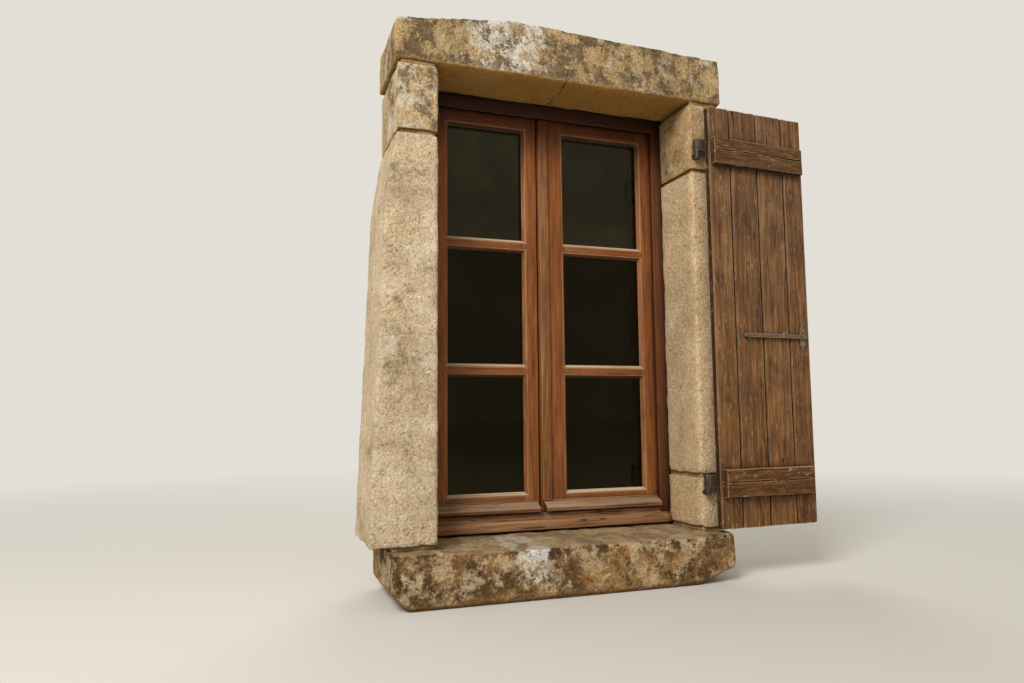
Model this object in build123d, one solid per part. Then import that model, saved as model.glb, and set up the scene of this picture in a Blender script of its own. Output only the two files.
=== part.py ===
from build123d import *
import os
from math import radians

# A stone-framed cottage window with its casement and its one outside shutter, in millimetres.
# X runs along the wall, Y into the wall, Z up. X = 0 is the middle of the opening, Y = 0 the face
# of the dressed stones, Z = 0 the flat bed of the sill stone.

# How far a cutting solid runs past what it cuts
CUT = 1.0

# Stone surround
OPENING_W = 860.0
OPENING_H = 1420.0
REVEAL_D = 200.0
STONE_D = 290.0
SILL_STONE_H = 155.0
SILL_STONE_PROUD = 60.0
SILL_STONE_LEFT = 144.0
SILL_STONE_RIGHT = 87.0
SILL_STONE_FALL = 8.0
SILL_STONE_END_RISE = 42.0
SILL_STONE_END_RUN = 130.0
JAMB_SHOULDER_DROP = 200.0
LEFT_JAMB_FOOT_W = 198.0
LEFT_JAMB_SHOULDER_W = 160.0
LEFT_JAMB_HEAD_W = 130.0
LEFT_UPPER_JAMB_W = 126.0
LEFT_UPPER_JAMB_H = 216.0
RIGHT_JAMB_FOOT_W = 176.0
RIGHT_JAMB_SHOULDER_W = 165.0
RIGHT_JAMB_HEAD_W = 150.0
RIGHT_LOWER_JAMB_W = 152.0
RIGHT_LOWER_JAMB_H = 171.0
RIGHT_UPPER_JAMB_W = 168.0
RIGHT_UPPER_JAMB_H = 238.0
LINTEL_H = 180.0
LINTEL_LEFT = 135.0
LINTEL_RIGHT = 130.0
LINTEL_END_DROP = 50.0
STONE_ARRIS = 7.0
MORTAR_JOINT = 7.0
MORTAR_RECESS = 9.0

# Fixed window frame, rebated behind the stone
FRAME_D = 58.0
FRAME_LAP = 36.0
FRAME_SHOW = 33.0
FRAME_HEAD_SHOW = 43.0
FRAME_LIP_W = 12.0
FRAME_LIP_T = 13.0
FRAME_SILL_SEAT = 38.0
FRAME_SILL_LIP_H = 56.0
FRAME_SILL_NOSE = 16.0
FRAME_SILL_NOSE_TOP = 29.0
FRAME_SILL_DRIP = 4.0
FRAME_SIDE_FIT = 1.0

# Sashes, opening into the room
SASH_T = 42.0
SASH_EDGE_GAP = 2.0
SASH_FOOT_GAP = 3.0
SASH_FACE_GAP = 3.0
HINGE_STILE_W = 61.0
LEFT_MEETING_W = 52.0
RIGHT_MEETING_W = 101.0
MEETING_X = -38.0
MEETING_GAP = 0.6
MEETING_BEVEL = 3.2
TOP_RAIL_H = 60.0
BOTTOM_RAIL_H = 81.0
GLAZING_BAR_W = 43.0
GLAZING_BARS = 2
GLASS_REBATE = 12.0
GLASS_SEAT = 16.0
GLASS_T = 4.0
GLASS_EDGE_GAP = 2.0
BEAD_FACE_W = 3.0
BEAD_BACK = 3.0
BEAD_SINK = 1.0
COVER_STRIP_W = 34.0
COVER_STRIP_T = 9.0
COVER_STRIP_INSET = 1.5
COVER_STRIP_ROUND = 4.0
WEATHER_BAR_FOOT = 61.0
WEATHER_BAR_TOP = 95.0
WEATHER_BAR_NOSE = 34.0
WEATHER_BAR_NOSE_H = 11.0
WEATHER_BAR_BEAD = 5.5
WEATHER_BAR_ROUND = 2.5
WEATHER_BAR_SIDE_GAP = 3.0
WEATHER_BAR_MEETING_GAP = 11.0
DRIP_GROOVE = 5.0

# Casement hinges
BUTT_PIN_R = 3.5
BUTT_PIN_PLAY = 0.05
BUTT_KNUCKLE_R = 5.7
BUTT_KNUCKLE_H = 34.0
BUTT_AXIS_BACK = 6.0
BUTT_PLATE_W = 26.0
BUTT_PLATE_T = 2.5
BUTT_PLATE_INSET = 1.5
BUTT_WEB_INSET = 0.5
BUTT_END_INSET = 170.0
BUTT_COUNT = 3
BUTT_JOINT_GAP = 0.3

# Sliding-rod bolt on the room side of the right sash
PINION_R = 8.0
PINION_T = 6.0
ROD_R = 5.0
ROD_AXIS_BACK = 9.0
ROD_CLEARANCE = 0.3
ROD_TIP_SETBACK = 1.0
RACK_W = 5.0
RACK_L = 30.0
RACK_TURN_DEG = 90.0
BOLT_HEIGHT = 640.0
BOLT_CASE_W = 38.0
BOLT_CASE_H = 120.0
BOLT_CASE_D = 23.0
BOLT_CASE_WALL = 3.0
SPINDLE_R = 5.0
KNOB_W = 52.0
KNOB_H = 26.0
KNOB_T = 16.0
KNOB_STANDOFF = 14.0
KNOB_COLLAR_R = 8.0
KNOB_COLLAR_T = 4.0
GUIDE_W = 24.0
GUIDE_H = 16.0
GUIDE_D = 17.0
KEEPER_W = 26.0
KEEPER_H = 20.0
KEEPER_GAP = 3.0
KEEPER_PLAY = 0.6
IRON_CHAMFER = 2.0

# Shutter leaf, hung outside on two pins and rested open
LEAF_FOOT_GAP = 6.0
LEAF_HEAD_GAP = 34.0
LEAF_MEETING_GAP = 36.0
PLANK_OUTER_W = 85.0
PLANK_T = 27.0
PLANK_GAP = 1.0
PLANK_CHAMFER = 2.5
TONGUE_T = 7.0
TONGUE_L = 8.0
TONGUE_PLAY = 0.4
LEDGE_H = 88.0
LEDGE_T = 24.0
LEDGE_CHAMFER = 6.0
UPPER_LEDGE_DROP = 110.0
UPPER_LEDGE_START = 5.0
UPPER_LEDGE_STOP = 18.0
LOWER_LEDGE_RISE = 100.0
LOWER_LEDGE_START = 8.0
LOWER_LEDGE_STOP = 25.0
PIN_X = 17.0
PIN_STAND = 14.0
LEAF_EDGE_X = 19.0
LEAF_BACK = 12.0
OPEN_LEAN_DEG = 3.0
PIN_R = 6.0
PIN_PLAY = 0.05
EYE_R = 11.5
EYE_H = 38.0
EYE_SEAT_GAP = 0.3
PIN_PROUD = 5.0
PINTLE_BODY_R = 9.0
PINTLE_BODY_H = 26.0
PINTLE_SPIKE_R = 7.0
PINTLE_SPIKE_L = 90.0
PINTLE_SPIKE_INSET = 2.0
UPPER_EYE_RISE = 55.0
LOWER_EYE_RISE = 31.0
STRAP_T = 6.0
STRAP_STOP = 92.0
STRAP_TIP_H = 24.0
STRAP_NAILS = 4
STRAP_NAIL_R = 3.0
STRAP_NAIL_HEAD_R = 7.0
STRAP_NAIL_HEAD_T = 2.5
STRAP_NAIL_L = 24.0
LEDGE_NAIL_R = 2.0
LEDGE_NAIL_HEAD_R = 4.5
LEDGE_NAIL_HEAD_T = 1.5
LEDGE_NAIL_TIP = 2.0
NAIL_PLAY = 0.05
NAIL_SPREAD = 26.0
NAIL_STAGGER = 9.0

# Swinging bar latch on the shutter
LATCH_RISE = 620.0
LATCH_EDGE_INSET = 33.0
LATCH_PLATE_W = 22.0
LATCH_PLATE_H = 90.0
LATCH_PLATE_POINT = 18.0
LATCH_PLATE_T = 4.0
PLATE_NAIL_R = 1.8
PLATE_NAIL_HEAD_R = 3.5
PLATE_NAIL_HEAD_T = 1.2
PLATE_NAIL_L = 14.0
PLATE_NAIL_INSET = 4.0
LATCH_BAR_L = 248.0
LATCH_BAR_TAIL = 11.0
LATCH_BAR_H = 13.0
LATCH_BAR_T = 6.0
LATCH_BAR_GAP = 0.3
LATCH_PIN_R = 4.0
LATCH_PIN_PLAY = 0.05
LATCH_PIN_HEAD_R = 7.0
LATCH_PIN_HEAD_T = 4.0
LATCH_PIN_L = 22.0
LATCH_SEAT_W = 16.0
LATCH_SEAT_H = 20.0
LATCH_SEAT_T = 9.0
LATCH_HOOK_R = 3.0
LATCH_HOOK_L = 20.0
LATCH_HOOK_PROUD = 16.0
LATCH_HOOK_LIP = 8.0
LATCH_HOOK_INSET = 12.0

SILL_TOP = SILL_STONE_H
HALF_W = OPENING_W / 2
SOFFIT = SILL_TOP + OPENING_H
FRAME_BACK = REVEAL_D + FRAME_D
SASH_BACK = FRAME_BACK
SASH_FRONT = SASH_BACK - SASH_T
FRAME_LIP_BACK = SASH_FRONT - SASH_FACE_GAP
SASH_HINGE_X = HALF_W - FRAME_SHOW + FRAME_LIP_W - SASH_EDGE_GAP
BUTT_AXIS_X = SASH_HINGE_X + SASH_EDGE_GAP / 2
BUTT_AXIS_Y = SASH_BACK + BUTT_AXIS_BACK
SASH_FOOT = SILL_TOP + FRAME_SILL_SEAT + SASH_FOOT_GAP
FRAME_HEAD_FOOT = SOFFIT - FRAME_HEAD_SHOW
SASH_TOP = FRAME_HEAD_FOOT + FRAME_LIP_W - SASH_EDGE_GAP
SIGHT_H = SASH_TOP - SASH_FOOT - TOP_RAIL_H - BOTTOM_RAIL_H
PANE_H = (SIGHT_H - GLAZING_BARS * GLAZING_BAR_W) / (GLAZING_BARS + 1)
LEAF_W = HALF_W + PIN_X - LEAF_EDGE_X - LEAF_MEETING_GAP
PLANK_INNER_W = (LEAF_W - 3 * PLANK_GAP) / 2 - PLANK_OUTER_W
LEAF_H = OPENING_H - LEAF_FOOT_GAP - LEAF_HEAD_GAP
STRAP_L = LEAF_W - STRAP_STOP
LEAF_FOOT = SILL_TOP + LEAF_FOOT_GAP
UPPER_LEDGE_FOOT = LEAF_FOOT_GAP + LEAF_H - UPPER_LEDGE_DROP - LEDGE_H
LOWER_LEDGE_FOOT = LEAF_FOOT_GAP + LOWER_LEDGE_RISE
UPPER_EYE_FOOT = UPPER_LEDGE_FOOT + UPPER_EYE_RISE
LOWER_EYE_FOOT = LOWER_LEDGE_FOOT + LOWER_EYE_RISE
PIN_AXIS_X = HALF_W + PIN_X
PIN_AXIS_Y = -PIN_STAND
LEAF_FACE = LEAF_BACK + PLANK_T
ROD_X = MEETING_X + RIGHT_MEETING_W / 2
ROD_Y = SASH_BACK + ROD_AXIS_BACK
BOLT_Z = SILL_TOP + BOLT_HEIGHT
ROD_TRAVEL = PINION_R * radians(RACK_TURN_DEG)


def block(x0, x1, y0, y1, z0, z1):
    """A box between two corners."""
    return Pos((x0 + x1) / 2, (y0 + y1) / 2, (z0 + z1) / 2) * Box(x1 - x0, y1 - y0, z1 - z0)


def prism_x(points, x0, x1):
    """A (y, z) outline carried along X."""
    return extrude(Plane.YZ.offset(x0) * make_face(Polyline(*points, close=True)), x1 - x0)


def prism_y(points, y0, y1):
    """An (x, z) outline carried along Y."""
    return extrude(Plane.XZ.offset(-y1) * make_face(Polyline(*points, close=True)), y1 - y0)


def prism_z(points, z0, z1):
    """An (x, y) outline carried along Z."""
    return extrude(Plane.XY.offset(z0) * make_face(Polyline(*points, close=True)), z1 - z0)


def rod_y(x, z, radius, y0, y1):
    """A round bar along Y."""
    return Pos(x, (y0 + y1) / 2, z) * Rot(90, 0, 0) * Cylinder(radius, y1 - y0)


def rod_z(x, y, radius, z0, z1):
    """A round bar along Z."""
    return Pos(x, y, (z0 + z1) / 2) * Cylinder(radius, z1 - z0)


def group(solids):
    """Several separate solids kept as one part."""
    return Compound(children=list(solids))


def front_edges(solid, y, direction=None):
    """The edges of a solid that lie in its face at the given depth."""
    edges = []
    for edge in solid.edges():
        box = edge.bounding_box()
        if abs(box.min.Y - y) < 0.01 and abs(box.max.Y - y) < 0.01:
            edges.append(edge)
    if direction is not None:
        edges = [e for e in edges if abs((e @ 1 - e @ 0).normalized().dot(direction)) > 0.99]
    return edges


# Surround of dressed stones
def sill_stone():
    left, right = -HALF_W - SILL_STONE_LEFT, HALF_W + SILL_STONE_RIGHT
    outline = [
        (left + SILL_STONE_END_RUN / 3, 0),
        (right - SILL_STONE_END_RUN, 0),
        (right, SILL_STONE_END_RISE),
        (right, SILL_TOP),
        (left, SILL_TOP),
        (left, SILL_STONE_END_RISE),
    ]
    stone = prism_y(outline, -SILL_STONE_PROUD, STONE_D)
    stone = chamfer(front_edges(stone, -SILL_STONE_PROUD), STONE_ARRIS)
    wash = [
        (-SILL_STONE_PROUD - CUT, SILL_TOP + CUT),
        (-SILL_STONE_PROUD - CUT, SILL_TOP - SILL_STONE_FALL),
        (REVEAL_D - FRAME_SILL_NOSE - STONE_ARRIS, SILL_TOP),
        (REVEAL_D - FRAME_SILL_NOSE - STONE_ARRIS, SILL_TOP + CUT),
    ]
    return stone - prism_x(wash, -HALF_W, HALF_W)


def rebate(side, z0, z1):
    """The space behind the reveal in which the wooden frame stands, on one side."""
    inner, outer = side * (HALF_W - STONE_ARRIS), side * (HALF_W + FRAME_LAP + FRAME_SIDE_FIT)
    return block(min(inner, outer), max(inner, outer), REVEAL_D, STONE_D + CUT, z0 - CUT, z1 + CUT)


def jamb(side, z0, z1, foot_w, head_w, shoulder_w=None):
    """One jamb stone with a straight reveal, an uneven outer side and a rebate for the frame."""
    outline = [(side * HALF_W, z0), (side * HALF_W, z1), (side * (HALF_W + head_w), z1)]
    if shoulder_w is not None:
        outline.append((side * (HALF_W + shoulder_w), z1 - JAMB_SHOULDER_DROP))
    outline.append((side * (HALF_W + foot_w), z0))
    stone = prism_y(outline, 0, STONE_D)
    arris = [e for e in front_edges(stone, 0, Vector(0, 0, 1)) if abs(e.center().X - side * HALF_W) < 0.01]
    return chamfer(arris, STONE_ARRIS) - rebate(side, z0, z1)


LEFT_JOINT = SOFFIT - LEFT_UPPER_JAMB_H
RIGHT_LOW_JOINT = SILL_TOP + RIGHT_LOWER_JAMB_H
RIGHT_HIGH_JOINT = SOFFIT - RIGHT_UPPER_JAMB_H
HALF_JOINT = MORTAR_JOINT / 2
JAMB_FOOT = SILL_TOP + MORTAR_JOINT
JAMB_HEAD = SOFFIT - MORTAR_JOINT


def jambs():
    """The five jamb stones by name."""
    return {
        "left_jamb_long": jamb(
            -1, JAMB_FOOT, LEFT_JOINT - HALF_JOINT, LEFT_JAMB_FOOT_W, LEFT_JAMB_HEAD_W, LEFT_JAMB_SHOULDER_W
        ),
        "left_jamb_upper": jamb(-1, LEFT_JOINT + HALF_JOINT, JAMB_HEAD, LEFT_UPPER_JAMB_W, LEFT_UPPER_JAMB_W),
        "right_jamb_lower": jamb(
            1, JAMB_FOOT, RIGHT_LOW_JOINT - HALF_JOINT, RIGHT_LOWER_JAMB_W, RIGHT_LOWER_JAMB_W
        )
        - spike_hole(LOWER_EYE_FOOT),
        "right_jamb_long": jamb(
            1,
            RIGHT_LOW_JOINT + HALF_JOINT,
            RIGHT_HIGH_JOINT - HALF_JOINT,
            RIGHT_JAMB_FOOT_W,
            RIGHT_JAMB_HEAD_W,
            RIGHT_JAMB_SHOULDER_W,
        ),
        "right_jamb_upper": jamb(
            1, RIGHT_HIGH_JOINT + HALF_JOINT, JAMB_HEAD, RIGHT_UPPER_JAMB_W, RIGHT_UPPER_JAMB_W
        )
        - spike_hole(UPPER_EYE_FOOT),
    }


def lintel():
    left, right = -HALF_W - LINTEL_LEFT, HALF_W + LINTEL_RIGHT
    outline = [
        (left, SOFFIT),
        (right, SOFFIT),
        (right, SOFFIT + LINTEL_H - LINTEL_END_DROP / 3),
        (right / 2, SOFFIT + LINTEL_H - LINTEL_END_DROP / 4),
        (left / 3, SOFFIT + LINTEL_H),
        (left, SOFFIT + LINTEL_H - LINTEL_END_DROP),
    ]
    stone = prism_y(outline, 0, STONE_D)
    arris = [e for e in front_edges(stone, 0, Vector(1, 0, 0)) if abs(e.center().Z - SOFFIT) < 0.01]
    stone = chamfer(arris, STONE_ARRIS)
    return stone - block(
        -HALF_W - FRAME_LAP - FRAME_SIDE_FIT,
        HALF_W + FRAME_LAP + FRAME_SIDE_FIT,
        REVEAL_D,
        STONE_D + CUT,
        SOFFIT - CUT,
        SOFFIT + FRAME_LAP + FRAME_SIDE_FIT,
    )


def mortar_joints():
    """The beds between the stones, raked back a little from the face and the reveal."""
    right_low_w = min(RIGHT_LOWER_JAMB_W, RIGHT_JAMB_FOOT_W)
    right_high_w = min(RIGHT_JAMB_HEAD_W, RIGHT_UPPER_JAMB_W)
    beds = [
        (-1, SILL_TOP, JAMB_FOOT, min(LEFT_JAMB_FOOT_W, SILL_STONE_LEFT)),
        (-1, LEFT_JOINT - HALF_JOINT, LEFT_JOINT + HALF_JOINT, min(LEFT_JAMB_HEAD_W, LEFT_UPPER_JAMB_W)),
        (-1, JAMB_HEAD, SOFFIT, min(LEFT_UPPER_JAMB_W, LINTEL_LEFT)),
        (1, SILL_TOP, JAMB_FOOT, min(RIGHT_LOWER_JAMB_W, SILL_STONE_RIGHT)),
        (1, RIGHT_LOW_JOINT - HALF_JOINT, RIGHT_LOW_JOINT + HALF_JOINT, right_low_w),
        (1, RIGHT_HIGH_JOINT - HALF_JOINT, RIGHT_HIGH_JOINT + HALF_JOINT, right_high_w),
        (1, JAMB_HEAD, SOFFIT, min(RIGHT_UPPER_JAMB_W, LINTEL_RIGHT)),
    ]
    pads = []
    for side, z0, z1, width in beds:
        inner, outer = side * (HALF_W + MORTAR_RECESS), side * (HALF_W + width - MORTAR_RECESS)
        pad = block(min(inner, outer), max(inner, outer), MORTAR_RECESS, STONE_D - MORTAR_RECESS, z0, z1)
        pads.append(pad - rebate(side, z0, z1))
    return group(pads)


# Fixed wooden frame
def frame_head():
    outer = HALF_W + FRAME_LAP
    profile = [
        (REVEAL_D, FRAME_HEAD_FOOT),
        (FRAME_LIP_BACK, FRAME_HEAD_FOOT),
        (FRAME_LIP_BACK, FRAME_HEAD_FOOT + FRAME_LIP_W),
        (FRAME_BACK, FRAME_HEAD_FOOT + FRAME_LIP_W),
        (FRAME_BACK, SOFFIT + FRAME_LAP),
        (REVEAL_D, SOFFIT + FRAME_LAP),
    ]
    return prism_x(profile, -outer, outer)


def frame_sill():
    outer = HALF_W + FRAME_LAP
    seat, lip = SILL_TOP + FRAME_SILL_SEAT, SILL_TOP + FRAME_SILL_LIP_H
    profile = [
        (REVEAL_D, SILL_TOP),
        (FRAME_BACK, SILL_TOP),
        (FRAME_BACK, seat),
        (FRAME_LIP_BACK, seat),
        (FRAME_LIP_BACK, lip),
        (REVEAL_D, lip),
    ]
    nose_front = REVEAL_D - FRAME_SILL_NOSE
    nose = [
        (REVEAL_D, SILL_TOP + FRAME_SILL_DRIP),
        (REVEAL_D, seat),
        (nose_front, SILL_TOP + FRAME_SILL_NOSE_TOP),
        (nose_front, SILL_TOP + FRAME_SILL_DRIP),
    ]
    sill = prism_x(profile, -outer, outer) + prism_x(nose, -HALF_W + FRAME_SIDE_FIT, HALF_W - FRAME_SIDE_FIT)
    notch_x = HALF_W - FRAME_SHOW
    for side in (-1, 1):
        low, high = sorted((side * notch_x, side * (outer + CUT)))
        sill -= block(low, high, REVEAL_D - CUT, FRAME_LIP_BACK + CUT, seat, lip + CUT)
    return sill


def frame_stile(side):
    rear_x, lip_x, outer = SASH_HINGE_X + SASH_EDGE_GAP, HALF_W - FRAME_SHOW, HALF_W + FRAME_LAP
    foot = SILL_TOP + FRAME_SILL_SEAT
    outline = [
        (side * outer, REVEAL_D),
        (side * lip_x, REVEAL_D),
        (side * lip_x, FRAME_LIP_BACK),
        (side * rear_x, FRAME_LIP_BACK),
        (side * rear_x, FRAME_BACK),
        (side * outer, FRAME_BACK),
    ]
    head = FRAME_HEAD_FOOT + FRAME_LIP_W
    stile = prism_z(outline, foot, head)
    low, high = sorted((side * (lip_x - CUT), side * (outer + CUT)))
    return stile - block(low, high, REVEAL_D - CUT, FRAME_LIP_BACK, FRAME_HEAD_FOOT, head + CUT)


# Sashes: built as the left one, with u from the hinge edge to the meeting edge
def sash_parts(sash_w, meeting_w):
    """The wooden members, glass and beads of one sash, in its own u coordinate."""
    rear_front = SASH_FRONT + GLASS_SEAT + GLASS_T
    sight0, sight1 = HINGE_STILE_W, sash_w - meeting_w
    rebate0, rebate1 = sight0 - GLASS_REBATE, sight1 + GLASS_REBATE
    pane_feet = [SASH_FOOT + BOTTOM_RAIL_H + i * (PANE_H + GLAZING_BAR_W) for i in range(GLAZING_BARS + 1)]

    def glass_rebates():
        return [
            block(rebate0, rebate1, SASH_FRONT - CUT, rear_front, z - GLASS_REBATE, z + PANE_H + GLASS_REBATE)
            for z in pane_feet
        ]

    meeting_edge = sash_w - MEETING_GAP
    blanks = {
        "hinge_stile": block(0, sight0, SASH_FRONT, SASH_BACK, SASH_FOOT, SASH_TOP),
        "meeting_stile": prism_z(
            [
                (sight1, SASH_FRONT),
                (meeting_edge - MEETING_BEVEL, SASH_FRONT),
                (meeting_edge, SASH_BACK),
                (sight1, SASH_BACK),
            ],
            SASH_FOOT,
            SASH_TOP,
        ),
        "top_rail": block(sight0, sight1, SASH_FRONT, SASH_BACK, SASH_TOP - TOP_RAIL_H, SASH_TOP),
        "bottom_rail": block(sight0, sight1, SASH_FRONT, SASH_BACK, SASH_FOOT, SASH_FOOT + BOTTOM_RAIL_H),
    }
    parts = {}
    for name, member in blanks.items():
        for cut in glass_rebates():
            member -= cut
        parts[name] = member

    bars, panes, beads = [], [], []
    for z in pane_feet[1:]:
        bar = block(sight0, sight1, SASH_FRONT, SASH_BACK, z - GLAZING_BAR_W, z)
        for cut in glass_rebates():
            bar -= cut
        bars.append(bar)
    glass_front = rear_front - GLASS_T
    for z in pane_feet:
        grow = GLASS_REBATE - GLASS_EDGE_GAP
        foot, head = z - grow, z + PANE_H + grow
        panes.append(block(sight0 - grow, sight1 + grow, glass_front, rear_front, foot, head))
        beads.append(glazing_bead(sight0, sight1, z, z + PANE_H, glass_front))
    parts["glazing_bars"] = group(bars)
    parts["panes"] = group(panes)
    parts["glazing_beads"] = group(beads)
    parts["weather_bar"] = weather_bar(sash_w)
    return parts


def glazing_bead(u0, u1, z0, z1, back):
    """A bevelled wooden bead all round one pane, in front of the glass."""
    middle_u, middle_z = (u0 + u1) / 2, (z0 + z1) / 2
    width, height = u1 - u0, z1 - z0
    ring = block(
        u0 - GLASS_REBATE,
        u1 + GLASS_REBATE,
        SASH_FRONT + BEAD_SINK,
        back,
        z0 - GLASS_REBATE,
        z1 + GLASS_REBATE,
    )
    flare = 2 * (GLASS_REBATE - BEAD_FACE_W)
    front = Plane(origin=(middle_u, SASH_FRONT + BEAD_SINK, middle_z), x_dir=(1, 0, 0), z_dir=(0, -1, 0))
    rear = Plane(origin=(middle_u, back - BEAD_BACK, middle_z), x_dir=(1, 0, 0), z_dir=(0, -1, 0))
    bevel = loft([front * Rectangle(width + flare, height + flare), rear * Rectangle(width, height)])
    return ring - bevel - block(u0, u1, SASH_FRONT, back + CUT, z0, z1)


def weather_bar(sash_w):
    """The moulded bar across the foot of a sash, with a drip groove under its nose."""
    nose = SASH_FRONT - WEATHER_BAR_NOSE
    foot, top = SILL_TOP + WEATHER_BAR_FOOT, SILL_TOP + WEATHER_BAR_TOP
    profile = [
        (SASH_FRONT, foot),
        (SASH_FRONT, top),
        (SASH_FRONT - WEATHER_BAR_BEAD, top),
        (SASH_FRONT - WEATHER_BAR_BEAD, top - WEATHER_BAR_BEAD),
        (nose + WEATHER_BAR_ROUND, foot + WEATHER_BAR_NOSE_H + WEATHER_BAR_ROUND),
        (nose, foot + WEATHER_BAR_NOSE_H),
        (nose, foot),
        (nose + DRIP_GROOVE, foot),
        (nose + DRIP_GROOVE, foot + DRIP_GROOVE),
        (nose + 2 * DRIP_GROOVE, foot + DRIP_GROOVE),
        (nose + 2 * DRIP_GROOVE, foot),
    ]
    start = FRAME_LIP_W - SASH_EDGE_GAP + WEATHER_BAR_SIDE_GAP
    return prism_x(profile, start, sash_w - WEATHER_BAR_MEETING_GAP)


def cover_strip(u_edge):
    """The rounded strip that dresses the meeting edge of the wide stile."""
    inner = u_edge - MEETING_GAP - MEETING_BEVEL - COVER_STRIP_INSET
    foot, head = SILL_TOP + WEATHER_BAR_TOP, FRAME_HEAD_FOOT - SASH_FOOT_GAP
    face = SASH_FRONT - COVER_STRIP_T
    strip = block(inner - COVER_STRIP_W, inner, face, SASH_FRONT, foot, head)
    return fillet(front_edges(strip, face, Vector(0, 0, 1)), COVER_STRIP_ROUND)


def butt_heights():
    span = SASH_TOP - SASH_FOOT - 2 * BUTT_END_INSET
    return [SASH_FOOT + BUTT_END_INSET + i * span / (BUTT_COUNT - 1) for i in range(BUTT_COUNT)]


def frame_hinge_halves(side):
    """The plates on the fixed frame, each with its lower knuckle and its pin."""
    halves = []
    axis_x, face = side * BUTT_AXIS_X, SASH_BACK + BUTT_PLATE_T
    plate_x = sorted((axis_x + side * BUTT_PLATE_INSET, axis_x + side * BUTT_PLATE_W))
    web_x = sorted((axis_x, axis_x + side * BUTT_PLATE_W / 2))
    for z in butt_heights():
        foot, seam, top = z - BUTT_KNUCKLE_H, z - BUTT_JOINT_GAP, z + BUTT_KNUCKLE_H
        plate = block(*plate_x, SASH_BACK, face, foot, top)
        plate -= rod_z(axis_x, BUTT_AXIS_Y, BUTT_KNUCKLE_R + BUTT_JOINT_GAP, seam, top + CUT)
        web = block(*web_x, SASH_BACK + BUTT_WEB_INSET, face, foot, seam)
        knuckle = rod_z(axis_x, BUTT_AXIS_Y, BUTT_KNUCKLE_R, foot, seam)
        pin = rod_z(axis_x, BUTT_AXIS_Y, BUTT_PIN_R, foot, top)
        halves.append(plate + web + knuckle + pin)
    return halves


def sash_hinge_halves():
    """The plates on a sash, each with its upper knuckle bored for the pin, in the sash's u."""
    halves = []
    axis_u = -SASH_EDGE_GAP / 2
    for z in butt_heights():
        top, face = z + BUTT_KNUCKLE_H, SASH_BACK + BUTT_PLATE_T
        plate = block(axis_u + BUTT_PLATE_INSET, axis_u + BUTT_PLATE_W, SASH_BACK, face, z, top)
        web = block(axis_u, axis_u + BUTT_PLATE_W / 2, SASH_BACK + BUTT_WEB_INSET, face, z, top)
        knuckle = rod_z(axis_u, BUTT_AXIS_Y, BUTT_KNUCKLE_R, z, top)
        bore = rod_z(axis_u, BUTT_AXIS_Y, BUTT_PIN_R + BUTT_PIN_PLAY, z - CUT, top + CUT)
        halves.append(plate + web + knuckle - bore)
    return group(halves)


def place_sash(part, side):
    """Put a part drawn in u on the left sash, or mirrored on the right one."""
    if side < 0:
        return Pos(-SASH_HINGE_X, 0, 0) * part
    return Pos(SASH_HINGE_X, 0, 0) * mirror(part, about=Plane.YZ)


# Rod bolt
def bolt_case():
    half_w, half_h = BOLT_CASE_W / 2, BOLT_CASE_H / 2
    back = SASH_BACK + BOLT_CASE_D
    shell = block(ROD_X - half_w, ROD_X + half_w, SASH_BACK, back, BOLT_Z - half_h, BOLT_Z + half_h)
    shell = chamfer(front_edges(shell, back), IRON_CHAMFER)
    room_w, room_h, room_back = half_w - BOLT_CASE_WALL, half_h - BOLT_CASE_WALL, back - BOLT_CASE_WALL
    shell -= block(
        ROD_X - room_w, ROD_X + room_w, SASH_BACK - CUT, room_back, BOLT_Z - room_h, BOLT_Z + room_h
    )
    shell -= rod_y(ROD_X, BOLT_Z, SPINDLE_R + ROD_CLEARANCE, room_back - CUT, back + CUT)
    return shell - rod_z(ROD_X, ROD_Y, ROD_R + ROD_CLEARANCE, BOLT_Z - half_h - CUT, BOLT_Z + half_h + CUT)


def bolt_rod(direction, tip):
    """One rod with the foot and rack that stand beside the pinion, running up or down."""
    foot = BOLT_Z + direction * (PINION_R + ROD_TRAVEL + ROD_CLEARANCE)
    foot_end = foot + direction * RACK_W
    rod = rod_z(ROD_X, ROD_Y, ROD_R, *sorted((foot, tip)))
    rack_in = ROD_X - direction * (PINION_R + ROD_CLEARANCE)
    rack_out = rack_in - direction * RACK_W
    half_t = PINION_T / 2
    web = block(*sorted((ROD_X, rack_out)), ROD_Y - half_t, ROD_Y + half_t, *sorted((foot, foot_end)))
    rack_tip = foot - direction * RACK_L
    rack = block(*sorted((rack_in, rack_out)), ROD_Y - half_t, ROD_Y + half_t, *sorted((rack_tip, foot_end)))
    return rod + web + rack


def bolt_pinion():
    """The wheel between the racks, on the square root of the knob's spindle."""
    return rod_y(ROD_X, BOLT_Z, PINION_R, ROD_Y - PINION_T / 2, ROD_Y + PINION_T / 2)


def bolt_knob():
    case_back = SASH_BACK + BOLT_CASE_D
    spindle_end = case_back + KNOB_STANDOFF
    spindle = rod_y(ROD_X, BOLT_Z, SPINDLE_R, ROD_Y + PINION_T / 2, spindle_end)
    collar = rod_y(ROD_X, BOLT_Z, KNOB_COLLAR_R, case_back + ROD_CLEARANCE, case_back + KNOB_COLLAR_T)
    grip = extrude(
        Plane.XZ.offset(-spindle_end - KNOB_T) * Pos(ROD_X, BOLT_Z) * Ellipse(KNOB_W / 2, KNOB_H / 2), KNOB_T
    )
    grip = fillet(grip.edges(), KNOB_T / 3)
    return spindle + collar + grip


def guide_heights():
    low = (SASH_FOOT + BOLT_Z - BOLT_CASE_H / 2) / 2
    high = (SASH_TOP + BOLT_Z + BOLT_CASE_H / 2) / 2
    return [SASH_FOOT + 2 * GUIDE_H, low, high, SASH_TOP - 2 * GUIDE_H]


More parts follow.
